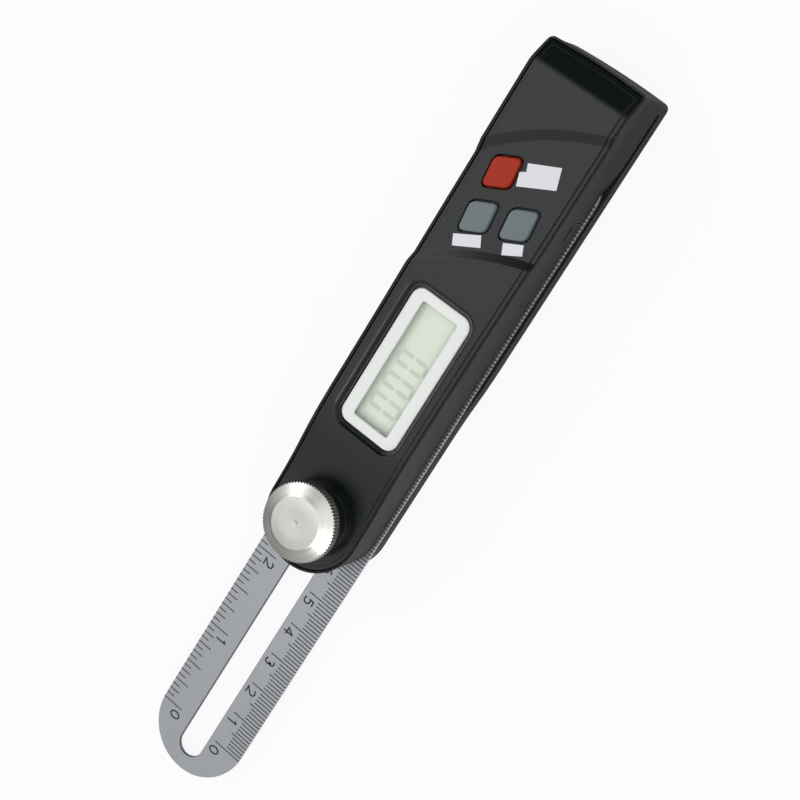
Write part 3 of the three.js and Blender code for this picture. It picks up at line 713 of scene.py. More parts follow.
@dataclass(frozen=True)
class Moulded(Finish):
    """Moulded plastic or rubber with grain, handling marks and softly rounded edges, lighter along the edges:
    slight wear, and on the dark shell and face a painted highlight.
    """

    grain: float = 5000.0
    depth: float = 0.000006
    swing: float = 0.12
    edge: float = 0.0003
    # Lighter edge colour: wear at small tones, painted highlight lines at large ones.
    edge_tone: float = 1.5
    edge_wear: float = 0.6
    dust: float = 0.35
    dust_colour: Colour = (0.42, 0.42, 0.4)
    tone: float = 0.12
    specular: float = 0.5

    def dress(self, sheet: Sheet, shader: Node) -> None:
        """Adds grain, tone, dust, rounded edges and lighter edges: slight wear, and a painted highlight where
        the edge tone is large.

        Args:
            sheet: Node tree of the material.
            shader: Principled shader.
        """
        grain = self.effect(sheet, Effect.GRAIN, Scale=self.grain, Roughness=self.roughness, Swing=self.swing)
        marks = self.effect(sheet, Effect.HANDLING, Amount=self.dust)
        edge = self.effect(sheet, Effect.EDGE, Radius=self.edge)
        ends = tinted(self.colour, 1 - self.tone), tinted(self.colour, 1 + self.tone)
        # Lighter colour along the edges: slight wear, and where the edge tone is large (shell, face) a
        # painted highlight line.
        worn_and_highlit_edges = sheet.times(edge["Edge"], self.edge_wear)
        rubbed_and_highlit = sheet.blend(worn_and_highlit_edges, sheet.blend(grain["Tone"], *ends), tinted(self.colour, self.edge_tone))
        dusty = sheet.blend(sheet.times(marks["Dust"], 0.5), rubbed_and_highlit, self.dust_colour)
        gloss = sheet.plus(grain["Roughness"], sheet.times(marks["Scuff"], 0.12))
        sheet.fill(shader, {"Base Color": dusty, "Roughness": gloss, "Specular IOR Level": self.specular})
        self.bump(sheet, shader, grain["Height"], self.depth, Normal=edge["Normal"])


class Working(Enum):
    """How a metal surface was worked."""

    BRUSHED = Effect.BRUSH
    TURNED = Effect.RINGS
    PLATED = Effect.GRAIN


@dataclass(frozen=True)
class Metal(Finish):
    """Metal with the lines of its working, small stains and rounded edges."""

    working: Working = Working.PLATED
    depth: float = 0.0000015
    streak: float = 0.25
    edge: float = 0.0001
    fineness: float = 9000.0
    drawn_out: float = 0.0
    stain: float = 1.3
    swing: float = 0.12

    def _tangent(self, sheet: Sheet) -> Socket:
        """Direction of the tool marks round the pivot axis.

        Args:
            sheet: Node tree of the material.

        Returns:
            The direction.
        """
        x, y, _ = sheet.axes(sheet.place())
        way = sheet.vector(sheet.times(y, -1.0), sheet.less(x, PIVOT_X * MILLIMETRE))
        return sheet.add("ShaderNodeVectorMath", {0: way}, operation="NORMALIZE").outputs[0]

    def dress(self, sheet: Sheet, shader: Node) -> None:
        """Adds worked lines, tone and rounded edges.

        Args:
            sheet: Node tree of the material.
            shader: Principled shader.
        """
        if self.drawn_out:
            sheet.fill(shader, {"Anisotropic": self.drawn_out, "Tangent": self._tangent(sheet)})
        lines = self.effect(sheet, self.working.value, Scale=self.fineness)
        marks = self.effect(sheet, Effect.HANDLING, Scale=500.0, Amount=0.6)
        edge = self.effect(sheet, Effect.EDGE, Radius=self.edge)
        spread = sheet.ramp(lines["Tone"], 0.3, 0.7)
        ends = tinted(self.colour, 1 - self.streak), tinted(self.colour, 1 + self.streak * 0.6)
        scuff = sheet.times(marks["Scuff"], 0.3)
        stained = sheet.blend(scuff, sheet.blend(spread, *ends), tinted(self.colour, self.stain))
        swing = sheet.times(sheet.less(spread, 0.5), self.swing)
        dull = sheet.plus(swing, sheet.times(marks["Dust"], 0.2))
        gloss = sheet.plus(self.roughness, dull)
        sheet.fill(shader, {"Metallic": 1.0, "Base Color": stained, "Roughness": gloss})
        self.bump(sheet, shader, lines["Height"], self.depth, Normal=edge["Normal"])


@dataclass(frozen=True)
class ClearPlate(Finish):
    """Clear cover with faint wiping marks."""

    alpha: float = 0.12

    def dress(self, sheet: Sheet, shader: Node) -> None:
        """Adds the see-through share and wiping marks.

        Args:
            sheet: Node tree of the material.
            shader: Principled shader.
        """
        marks = self.effect(sheet, Effect.HANDLING, Scale=1200.0, Amount=0.5)
        gloss = sheet.plus(self.roughness, sheet.times(marks["Scuff"], 0.15))
        sheet.fill(shader, {"Alpha": self.alpha, "Roughness": gloss})


@dataclass(frozen=True)
class Reflector(Finish):
    """Display glass: pale reflector with a painted shadow of the frame's walls inside two of its edges."""

    # Colour, strength and extent of the painted shadow that the frame's walls throw inside the window's left
    # and upper edges.
    shade: Colour = (0.30, 0.34, 0.28)
    strength: float = 0.55
    left: Point2 = (30.3, 28.1)
    upper: Point2 = (3.6, 5.2)

    def dress(self, sheet: Sheet, shader: Node) -> None:
        """Adds the painted shadow of the frame's walls and a fine sparkle.

        Args:
            sheet: Node tree of the material.
            shader: Principled shader.
        """
        x, y, _ = sheet.axes(sheet.place())
        left = sheet.ramp(x, *((place + PIVOT_X) * MILLIMETRE for place in self.left))
        upper = sheet.ramp(y, *(place * MILLIMETRE for place in self.upper))
        # Painted shadow: darker inside the window's left and upper edges, where the frame's walls shade the
        # glass.
        mask = sheet.times(sheet.math("MAXIMUM", left, upper), self.strength)
        grain = self.effect(sheet, Effect.GRAIN, Scale=9000.0, Roughness=self.roughness, Swing=0.1)
        pale = sheet.blend(grain["Height"], self.colour, tinted(self.colour, 1.05))
        base = sheet.blend(mask, pale, self.shade)
        sheet.fill(shader, {"Base Color": base, "Roughness": grain["Roughness"]})


@dataclass(frozen=True)
class Laminate(Finish):
    """Circuit board with copper tracks under a green mask."""

    track: Colour = (0.10, 0.33, 0.16)
    solder: Colour = (0.62, 0.60, 0.50)
    relief: float = 0.00003

    def dress(self, sheet: Sheet, shader: Node) -> None:
        """Adds tracks, pads and a slight relief.

        Args:
            sheet: Node tree of the material.
            shader: Principled shader.
        """
        place = sheet.place()
        bricks = {"Vector": place, "Scale": 420.0, "Mortar Size": 0.03}
        tracks = sheet.add("ShaderNodeTexBrick", bricks).outputs["Fac"]
        pads = sheet.add("ShaderNodeTexVoronoi", {"Vector": place, "Scale": 380.0}).outputs["Distance"]
        pad = sheet.ramp(pads, 0.22, 0.18)
        lined = sheet.blend(tracks, self.colour, self.track)
        sheet.fill(shader, {"Base Color": sheet.blend(pad, lined, self.solder)})
        self.bump(sheet, shader, sheet.math("MAXIMUM", pad, tracks), self.relief)


@dataclass(frozen=True)
class Zebra(Finish):
    """Rubber strip with fine dark conducting layers along X."""

    layer: Colour = (0.05, 0.05, 0.05)
    relief: float = 0.00001

    def dress(self, sheet: Sheet, shader: Node) -> None:
        """Adds the conducting layers.

        Args:
            sheet: Node tree of the material.
            shader: Principled shader.
        """
        inputs = {"Vector": sheet.place(), "Scale": 900.0, "Distortion": 0.2}
        bands = sheet.add("ShaderNodeTexWave", inputs, bands_direction="X").outputs["Fac"]
        sheet.fill(shader, {"Base Color": sheet.blend(bands, self.colour, self.layer)})
        self.bump(sheet, shader, bands, self.relief)


@dataclass(frozen=True)
class Print(Finish):
    """Thin printed or etched film with a broken, slightly uneven colour."""

    unevenness: float = 0.25
    specular: float = 0.5
    relief: float = 0.000003

    def dress(self, sheet: Sheet, shader: Node) -> None:
        """Adds the uneven colour.

        Args:
            sheet: Node tree of the material.
            shader: Principled shader.
        """
        grain = self.effect(sheet, Effect.GRAIN, Scale=6000.0, Roughness=self.roughness, Swing=0.15)
        base = sheet.blend(grain["Height"], self.colour, tinted(self.colour, 1 + self.unevenness, 0.01))
        shine = {"Roughness": grain["Roughness"], "Specular IOR Level": self.specular}
        sheet.fill(shader, {"Base Color": base, **shine})
        self.bump(sheet, shader, grain["Height"], self.relief)


# The shell's and the face's large edge tones paint light highlight lines along their dark edges.
HOUSING = Moulded("satin_charcoal_shell", (0.0085, 0.008, 0.0095), 0.55, grain=4200.0, depth=0.000012,
                  specular=0.19, edge_tone=26.0)
PANEL = Moulded("gloss_charcoal_face", (0.0012, 0.0034, 0.0042), 0.27, grain=6000.0, depth=0.000003,
                swing=0.08, specular=0.58, edge_tone=6.0)
FRAME = Moulded("pale_display_frame", (0.88, 0.90, 0.88), 0.4, grain=7000.0, depth=0.000004, edge_tone=1.1,
                dust=0.1, tone=0.03)
RED_RUBBER = Moulded("moulded_red_rubber", (0.385, 0.027, 0.007), 0.55, grain=5200.0, depth=0.00001,
                     edge=0.0002, specular=0.3)
GREY_RUBBER = Moulded("moulded_grey_rubber", (0.165, 0.200, 0.212), 0.55, grain=5200.0, depth=0.00001,
                      edge=0.0002, specular=0.3)
ROTOR = Moulded("rotor_plastic", (0.035, 0.10, 0.17), 0.45)
SWITCH_CASE = Moulded("switch_case_plastic", (0.03, 0.03, 0.032), 0.5)
COVER = ClearPlate("clear_display_cover", (0.95, 0.97, 0.95), 0.06)
REFLECTOR = Reflector("display_reflector", (0.78, 0.86, 0.72), 0.35)
SEGMENTS = Print("display_segments", (0.54, 0.58, 0.50), 0.5)
LABEL = Print("pale_patch", (0.76, 0.76, 0.82), 0.45, unevenness=0.06)
INK = Print("etched_black", (0.024, 0.026, 0.030), 0.6, specular=0.25)
BLADE_STEEL = Metal("brushed_blade_steel", (0.44, 0.455, 0.485), 0.42, Working.BRUSHED, streak=0.045)
KNOB_STEEL = Metal("turned_knob_steel", (0.70, 0.70, 0.66), 0.22, Working.TURNED, depth=0.0000009,
                   streak=0.08, drawn_out=0.85, edge=0.00006)
# The knurled band is the knob's steel made rougher, with its colour darkened as painted shade of the flank.
SHADED_KNURL_STEEL = Metal("knurled_knob_steel_shaded", (0.46, 0.46, 0.44), 0.4, streak=0.2)
# Dark steel colour on the upper part of the blade slot's wall.
DARK_SLOT_WALL_STEEL = Metal("dark_slot_wall_steel", (0.10, 0.10, 0.11), 0.6, streak=0.3)
BOLT_STEEL = Metal("turned_bolt_steel", (0.55, 0.56, 0.57), 0.3, Working.TURNED, streak=0.12, drawn_out=0.6)
PLATED = Metal("plated_screw_steel", (0.55, 0.56, 0.58), 0.28, streak=0.15)
BRASS = Metal("turned_brass", (0.68, 0.50, 0.22), 0.3, Working.TURNED, depth=0.000004, streak=0.18)
SPRING = Metal("contact_strip", (0.70, 0.66, 0.50), 0.3, Working.BRUSHED, streak=0.2)
CELL = Metal("coin_cell_can", (0.66, 0.67, 0.69), 0.42, depth=0.000001, streak=0.06)
BOARD = Laminate("green_board", (0.02, 0.15, 0.06), 0.4)
STRIP = Zebra("layered_strip", (0.60, 0.30, 0.36), 0.6)


# Geometry Nodes


class Recipe:
    """A Geometry Nodes tree with named inputs, run to give a plain mesh."""

    KINDS = {int: "NodeSocketInt", float: "NodeSocketFloat"}

    def __init__(self, name: str, **inputs: float | int) -> None:
        """Starts the tree.

        Args:
            name: Name of the tree.
            inputs: Default value of each input by name.
        """
        self.tree = bpy.data.node_groups.new(name, "GeometryNodeTree")
        for key, value in inputs.items():
            socket = self.tree.interface.new_socket(key, in_out="INPUT", socket_type=self.KINDS[type(value)])
            socket.default_value = value
        self.tree.interface.new_socket("Geometry", in_out="OUTPUT", socket_type="NodeSocketGeometry")
        self.sheet = Sheet(self.tree)
        given = self.sheet.add("NodeGroupInput")
        self.given = {key: given.outputs[key] for key in inputs}

    def moved(self, geometry: Socket, shift: object) -> Socket:
        """Geometry moved by a vector."""
        inputs = {"Geometry": geometry, "Translation": shift}
        return self.sheet.add("GeometryNodeTransform", inputs).outputs[0]

    def close(self, points: Socket, instance: Socket, **more: Socket) -> "Recipe":
        """Ends the tree with an instance on every point, as one mesh.

        Args:
            points: Where the instances stand.
            instance: What stands there.
            more: Scale or rotation of the instances.

        Returns:
            The recipe.
        """
        inputs = {"Points": points, "Instance": instance, **more}
        spread = self.sheet.add("GeometryNodeInstanceOnPoints", inputs)
        real = self.sheet.add("GeometryNodeRealizeInstances", {"Geometry": spread.outputs[0]})
        self.sheet.add("NodeGroupOutput", {0: real.outputs[0]})
        return self

    def run(self, **values: float | int) -> Mesh:
        """Runs the tree.

        Args:
            values: Input values by name.

        Returns:
            A plain mesh in millimetres.
        """
        holder = bpy.data.objects.new("holder", bpy.data.meshes.new("holder"))
        bpy.context.collection.objects.link(holder)
        step = holder.modifiers.new("recipe", "NODES")
        step.node_group = self.tree
        for item in self.tree.interface.items_tree:
            if item.in_out == "INPUT" and item.name in values:
                step[item.identifier] = values[item.name]
        mesh = settled_mesh(holder)
        bpy.data.objects.remove(holder)
        return mesh


def tick_recipe() -> Recipe:
    """Scale marks in a row, longer at every so many steps.

    Returns:
        The recipe.
    """
    sizes = {"Count": 10, "Pitch": 1.0, "Start": 0.0, "Edge": 0.0, "Side": 1.0, "Width": 0.25, "Length": 2.0,
             "Low": 0.0, "Thickness": 0.02}
    ranks = range(1, 5)
    steps = {f"Every{i}": 1 for i in ranks} | {f"Extra{i}": 0.0 for i in ranks}
    recipe = Recipe("scale_marks", **sizes, **steps)
    sheet, given = recipe.sheet, recipe.given
    start = sheet.vector(given["Start"], given["Edge"], given["Low"])
    line = {"Count": given["Count"], "Start Location": start, "Offset": sheet.vector(given["Pitch"])}
    row = sheet.add("GeometryNodeMeshLine", line)
    index = sheet.add("GeometryNodeInputIndex").outputs[0]
    length = given["Length"]
    for i in ranks:
        rest = sheet.math("MODULO", index, given[f"Every{i}"])
        longer = sheet.times(sheet.math("LESS_THAN", rest, 0.5), given[f"Extra{i}"])
        length = sheet.plus(length, longer)
    cube = sheet.add("GeometryNodeMeshCube", {"Size": (1.0, 1.0, 1.0)})
    scale = sheet.vector(given["Width"], sheet.times(length, given["Side"]), given["Thickness"])
    return recipe.close(row.outputs[0], recipe.moved(cube.outputs[0], (0.0, 0.5, 0.5)), Scale=scale)


def knurl_recipe() -> Recipe:
    """Grooves of a straight knurl: one square bar after another round a band, each on its edge.

    Returns:
        The recipe.
    """
    recipe = Recipe("straight_knurl", Teeth=84, Radius=9.0, Depth=0.4, Low=0.0, High=3.0)
    sheet, given = recipe.sheet, recipe.given
    ring = sheet.add("GeometryNodeMeshCircle", {"Vertices": given["Teeth"], "Radius": given["Radius"]})
    height = sheet.less(given["High"], given["Low"])
    bar = {"Vertices": 4, "Side Segments": 1, "Radius": given["Depth"], "Depth": height}
    ridge = sheet.add("GeometryNodeMeshCylinder", bar).outputs["Mesh"]
    lift = sheet.plus(given["Low"], sheet.math("DIVIDE", height, 2.0))
    index = sheet.add("GeometryNodeInputIndex").outputs[0]
    turn = sheet.times(index, sheet.math("DIVIDE", 2 * math.pi, given["Teeth"]))
    raised = recipe.moved(ridge, sheet.vector(0.0, 0.0, lift))
    return recipe.close(ring.outputs[0], raised, Rotation=sheet.vector(0.0, 0.0, turn))


def screw_recipe() -> Recipe:
    """Four cross-head screws at the corners of a rectangle.

    Returns:
        The recipe.
    """
    recipe = Recipe("cross_screws", Near=0.0, Far=10.0, Side=5.0, Seat=0.0, Way=1.0, HeadRadius=1.8, Head=1.1,
                    Radius=0.8, Length=5.0)
    sheet, given = recipe.sheet, recipe.given
    span = sheet.less(given["Far"], given["Near"])
    sizes = {"Size X": span, "Size Y": sheet.times(given["Side"], 2.0), "Vertices X": 2, "Vertices Y": 2}
    grid = sheet.add("GeometryNodeMeshGrid", sizes)
    middle = sheet.plus(given["Near"], sheet.math("DIVIDE", span, 2.0))
    points = recipe.moved(grid.outputs[0], sheet.vector(middle, 0.0, given["Seat"]))
    whole = sheet.add("GeometryNodeMeshBoolean", operation="UNION")
    for radius, length, sides, share in (("HeadRadius", "Head", 32, 0.5), ("Radius", "Length", 24, -0.5)):
        rod = {"Vertices": sides, "Radius": given[radius], "Depth": given[length]}
        lift = sheet.vector(0.0, 0.0, sheet.times(given[length], share, given["Way"]))
        cylinder = sheet.add("GeometryNodeMeshCylinder", rod).outputs["Mesh"]
        sheet.fill(whole, {"Mesh 2": recipe.moved(cylinder, lift)})
    top = sheet.vector(0.0, 0.0, sheet.times(given["Head"], given["Way"]))
    arm, slot = (sheet.times(given["HeadRadius"], share) for share in (1.15, 0.26))
    crossed = sheet.add("GeometryNodeMeshBoolean", {"Mesh 1": whole.outputs["Mesh"]}, operation="DIFFERENCE")
    for x, y in ((arm, slot), (slot, arm)):
        bar = sheet.add("GeometryNodeMeshCube", {"Size": sheet.vector(x, y, given["Head"])}).outputs[0]
        sheet.fill(crossed, {"Mesh 2": recipe.moved(bar, top)})
    return recipe.close(points, crossed.outputs["Mesh"])


# Sub-assemblies


@dataclass
class Pad:
    """A slanted button with round corners."""

    name: str
    place: Point2
    finish: Finish
    slot: str
    run: Point2 = (7.35, 0.88)
    fall: Point2 = (2.9, -6.2)
    corner: float = 1.6
    least_corner: float = 0.25
    proud: float = 0.9
    flange: float = 0.9
    flange_thickness: float = 0.8
    step: float = 0.001
    crown: tuple = ((0.0, 0.62), (0.05, 0.42), (0.16, 0.26), (0.32, 0.17), (0.6, 0.1), (1.2, 0.04),
                    (2.0, 0.0))

    def outline(self, grow: float) -> Outline:
        """The pad from above, grown on every side, counter-clockwise.

        Args:
            grow: Distance by which the outline grows.

        Returns:
            The outline.
        """
        run, fall = Vector(self.run), Vector(self.fall)
        slant = abs(run.x * fall.y - run.y * fall.x) / (run.length * fall.length)
        along, across = run.normalized(), -fall.normalized()
        half_run, half_fall = run.length / 2 + grow / slant, fall.length / 2 + grow / slant
        turn = max(self.corner + grow, self.least_corner)
        points: Outline = []
        for index, (a, b) in enumerate(((1, 1), (-1, 1), (-1, -1), (1, -1))):
            tip = Vector(self.place) + along * (a * half_run) + across * (b * half_fall)
            ends = [tip - across * (b * turn), tip - along * (a * turn)]
            first, last = ends if index % 2 == 0 else ends[::-1]
            points += bezier([tuple(first), tuple(tip), tuple(last)], 10)
        return points

    def build(self) -> None:
        """Builds the rubber pad with its crowned top and hidden flange."""
        top = LEVEL.field_floor + self.proud
        high = LEVEL.panel_low - LEVEL.gap
        wide = self.outline(self.flange)
        levels = [(wide, high - self.flange_thickness), (wide, high), (self.outline(0.0), high + self.step)]
        levels += [(self.outline(-inset), top - drop) for inset, drop in self.crown]
        place_piece(f"{self.name}_pad", Solid.stack(levels).mesh, self.finish, f"{self.name}_key",
                    [f"button_{self.name}"], 50)


@dataclass
class Keypad:
    """The three buttons and the bare patches beside them."""

    pads: tuple = (
        Pad("power", (95.35, 5.2), RED_RUBBER, "red_rubber"),
        Pad("hold", (83.85, 4.45), GREY_RUBBER, "grey_rubber"),
        Pad("mode", (87.65, -5.0), GREY_RUBBER, "grey_rubber"),
    )
    patches: tuple = (
        ("hold", ((74.95, 6.2), (78.3, -0.05), (80.8, 1.4), (77.4, 7.5))),
        ("mode", ((79.8, -5.2), (82.3, -9.6), (84.6, -8.5), (82.3, -4.0))),
        ("power", ((94.5, 0.6), (98.8, -8.1), (103.7, -6.4), (100.3, 1.1), (98.5, 0.3), (97.6, 1.7))),
    )
    patch_depth: float = 0.02
    patch_height: float = 0.04

    def build(self) -> None:
        """Builds the pads and the patches."""
        for pad in self.pads:
            pad.build()
        low, high = LEVEL.field_floor - self.patch_depth, LEVEL.field_floor + self.patch_height
        for name, outline in self.patches:
            patch = Solid.slab(list(outline), low, high)
            place_piece(f"{name}_patch", patch.mesh, LABEL, "handle", weighted=False)


@dataclass
class Display:
    """White frame, clear cover and reflector with its digits."""

    x: float = 44.2
    length: float = 37.6
    width: float = 17.0
    corner: float = 2.9
    least_corner: float = 0.1
    lip: float = 0.6
    flange: float = 1.0
    edge: tuple = ((0.0, -0.35), (-0.04, -0.2), (-0.14, -0.07), (-0.32, 0.0))
    window_length: float = 32.2
    window_width: float = 10.4
    window_corner: float = 0.5
    window_edge: tuple = ((0.0, -0.3), (0.1, -0.12), (0.32, 0.02))
    border: float = 1.0
    plate_corner: float = 0.3
    cover_low: float = 17.4
    cover_high: float = 18.3
    glass_low: float = 16.0
    glass_high: float = 17.1
    digit_starts: tuple = (31.7, 37.7, 43.9)
    digit_width: float = 4.1
    digit_half: float = 4.65
    stroke: float = 1.1
    bar_gap: float = 0.12
    bar_low: float = 0.01
    bar_high: float = 0.03

    def layers(self, length: float, width: float, corner: float, levels: Iterable[Point2]) -> Solid:
        """A body about the display's centre, grown by another distance at each height.

        Args:
            length: Size along the handle before it grows.
            width: Size across the handle before it grows.
            corner: Radius of the corners before they grow.
            levels: Distance by which it grows, and height.

        Returns:
            The body.
        """
        rings = []
        for grow, z in levels:
            turn = max(corner + grow, self.least_corner)
            dx, dy = (length + 2 * grow) / 2 - turn, (width + 2 * grow) / 2 - turn
            outline: Outline = []
            for start, a, b in ((0.0, 1, 1), (90.0, -1, 1), (180.0, -1, -1), (270.0, 1, -1)):
                outline += arc(self.x + a * dx, b * dy, turn, start, start + 90.0, 20)
            rings.append((outline, z))
        return Solid.stack(rings)

    def _window(self, border: float, low: float, high: float) -> Solid:
        """A plate about the window, wider by a border."""
        length, width = self.window_length + 2 * border, self.window_width + 2 * border
        return self.layers(length, width, self.plate_corner, ((0.0, low), (0.0, high)))

    def _frame(self) -> Solid:
        """The white frame with its rounded outer and inner edges.

        Returns:
            The frame.
        """
        gap, high = LEVEL.gap, LEVEL.bezel_high
        frame_low = LEVEL.panel_low - gap
        low = frame_low - self.flange
        edge = [(grow, high + rise) for grow, rise in self.edge]
        upper = self.layers(self.length, self.width, self.corner, [(0.0, frame_low - self.flange / 2), *edge])
        length, width = self.length + 2 * self.flange, self.width + 2 * self.flange
        flange = self.layers(length, width, self.corner, ((0.0, low), (0.0, frame_low)))
        edge = [(0.0, low - gap), *((grow, high + rise) for grow, rise in self.window_edge)]
        hole = self.layers(self.window_length, self.window_width, self.window_corner, edge)
        return upper.add(flange).cut(hole, self._window(self.border + gap, low - gap, high - self.lip))

    def _bar(self, start: Point2, stop: Point2) -> Solid:
        """One pointed bar of a digit.

        Args:
            start: Middle of the joint where it starts.
            stop: Middle of the joint where it ends.

        Returns:
            The bar as a thin body.
        """
        a, b = Vector(start), Vector(stop)
        along = (b - a).normalized()
        point = along * self.stroke / 2
        side = Vector((-point.y, point.x))
        a, b = a + along * self.bar_gap, b - along * self.bar_gap
        outline = [a, a + point + side, b - point + side, b, b - point - side, a + point - side]
        return Solid.slab(outline, self.glass_high + self.bar_low, self.glass_high + self.bar_high)

    def _digits(self) -> Mesh:
        """Zeros of six bars each.

        Returns:
            All bars.
        """
        half, ends = self.stroke / 2, []
        top = self.digit_half - half
        for start in self.digit_starts:
            left, right = start + half, start + self.digit_width - half
            ends += [((left, y), (right, y)) for y in (top, -top)]
            ends += [((x, y), (x, y - top)) for x in (left, right) for y in (top, 0.0)]
        return side_by_side(self._bar(*pair) for pair in ends)

    def build(self) -> None:
        """Builds the frame, the cover, the reflector and the digits."""
        place_piece("display_frame", self._frame().mesh, FRAME, "handle", ["display_bezel"], 35)
        for name, low, high, finish, slot, node in (
            ("display_cover", self.cover_low, self.cover_high, COVER, "lens", "display_lens"),
            ("display_glass", self.glass_low, self.glass_high, REFLECTOR, "lcd", "lcd_glass"),
        ):
            place_piece(name, self._window(self.border, low, high).mesh, finish, "handle", [node])
        place_piece("display_digits", self._digits(), SEGMENTS, "handle", weighted=False)


@dataclass
class FacePanel:
    """Stepped face with its collar, sunk button field and openings."""

    rim: float = 0.6
    shoulder: float = 1.0
    shoulder_drop: float = 0.6
    # Heights that no other cut shares, because faces that coincide leave folds in the mesh.
    middle_slab: Point2 = (7.5, 29.0)
    ledge_slab: Point2 = (7.6, 28.0)
    field_depth: float = 1.2
    field_steps: int = 8
    field_margin: float = 3.0
    field_height: float = 6.0
    field_spread: float = 0.15
    near_slope: float = 2.05
    far_slope: float = 2.4
    field_radius: float = 67.0
    near_cross: float = 75.2
    far_cross: float = 109.7
    near_turn: float = 27.5
    far_turn: float = 30.3
    collar_radius: float = 9.0
    tube_radius: float = 6.6
    bore_radius: float = 4.5
    tube_low: float = 12.3
    tube_overlap: float = 0.8
    collar_overlap: float = 0.9
    post_radius: float = 2.4
    post_low: float = 9.5
    pilot_radius: float = 1.05
    pilot_high: float = 14.6
    pad_gap: float = 0.4
    pad_lead: tuple = ((0.0, -0.25), (0.08, -0.08), (0.3, 0.03))
    dish: float = 1.3
    dish_start: float = 0.2
    dish_width: float = 1.5
    dish_steps: int = 10
    dish_over: float = 0.003
    dish_margin: float = 0.1
    opening_low: float = 15.0
    opening_high: float = 21.2

    def field_cut(self, floor: float) -> Solid:
        """The body that sinks the button field, with soft slopes at both arcs.

        Args:
            floor: Height of the sunk field.

        Returns:
            The cutting body.
        """
        levels = []
        for i in range(self.field_steps + 1):
            share = i / self.field_steps
            rise = share * share * (3 - 2 * share)
            levels.append((self._field_outline(1 - rise), floor + self.field_depth * rise))
        levels.append((self._field_outline(-self.field_spread), floor + self.field_depth + self.field_height))
        return Solid.stack(levels)

    def _field_outline(self, share: float) -> Outline:
        """The field between its two arcs, drawn in by their slopes.

        Args:
            share: Share of each slope by which its arc is drawn in.

        Returns:
            The outline.
        """
        reach = BOX_PLAN.far + self.field_margin
        sides = []
        for cross, turn, radius in (
            (self.near_cross, self.near_turn, self.field_radius + self.near_slope * share),
            (self.far_cross, self.far_turn, self.field_radius - self.far_slope * share),
        ):
            angle = math.radians(turn)
            x, y = cross - self.field_radius * math.cos(angle), -self.field_radius * math.sin(angle)
            high, low = (math.degrees(math.asin((side - y) / radius)) for side in (reach, -reach))
            sides.append(arc(x, y, radius, high, low, 40))
        return sides[0] + sides[1][::-1]

    def _layer(self, inset: float, drop: float, low: float, high: float) -> Solid:
        """One step of the face.

        Args:
            inset: Distance by which it is drawn in from the highest rim.
            drop: Distance by which it is lowered.
            low: Lower end of the slab that it is cut from.
            high: Upper end of that slab.

        Returns:
            The step.
        """
        outline = BOX_PLAN.outline(self.rim + LEVEL.gap + inset)
        whole = Solid.slab(outline, low, high).keep(below_top(drop), above_panel(0.0))
        return whole.cut(self.field_cut(LEVEL.field_floor - drop))

    def _opening(self, display: Display) -> Solid:
        """The display's opening with its dished rim.

        Args:
            display: Display that needs the opening.

        Returns:
            The cutting body.
        """
        gap, low = LEVEL.gap, LEVEL.face - self.dish
        levels = [(0.0, self.opening_low), (0.0, low - self.dish_margin)]
        for i in range(self.dish_steps + 1):
            share = i / self.dish_steps
            rise = LEVEL.face + self.dish_over - self.dish * (1 - share) ** 2
            levels.append((self.dish_start + self.dish_width * share, rise))
        levels.append((self.dish_start + self.dish_width + self.dish_margin, self.opening_high))
        return display.layers(display.length + 2 * gap, display.width + 2 * gap, display.corner + gap, levels)

    def build(self, keypad: Keypad, display: Display) -> None:
        """Builds the panel.

        Args:
            keypad: Buttons that need holes.
            display: Display that needs an opening.
        """
        gap, floor = LEVEL.gap, LEVEL.field_floor
        collar = Solid.rod(self.collar_radius, LEVEL.pivot_face - self.collar_overlap, LEVEL.collar_top)
        tube = Solid.rod(self.tube_radius, self.tube_low, LEVEL.pivot_face - self.tube_overlap)
        middle = self._layer(self.shoulder, 0.0, *self.middle_slab)
        whole = middle.add(self._layer(0.0, self.shoulder_drop, *self.ledge_slab), collar, tube)
        posts, holes = [], [Solid.rod(self.bore_radius, self.tube_low - gap, LEVEL.collar_top + gap)]
        for spot in PANEL_SCREWS.spots():
            posts.append(Solid.rod(self.post_radius, self.post_low, LEVEL.panel_low + gap, *spot))
            holes.append(Solid.rod(self.pilot_radius, self.post_low - gap, self.pilot_high, *spot))
        for pad in keypad.pads:
            lead = [(0.0, LEVEL.panel_low - gap - floor), *self.pad_lead, (0.3, LEVEL.face + gap - floor)]
            rings = [(pad.outline(self.pad_gap + grow), floor + rise) for grow, rise in lead]
            holes.append(Solid.stack(rings))
        whole = whole.add(*posts).cut(*holes, self._opening(display))
        place_piece("face_plate", whole.mesh, PANEL, "handle", ["face_panel"], 28)


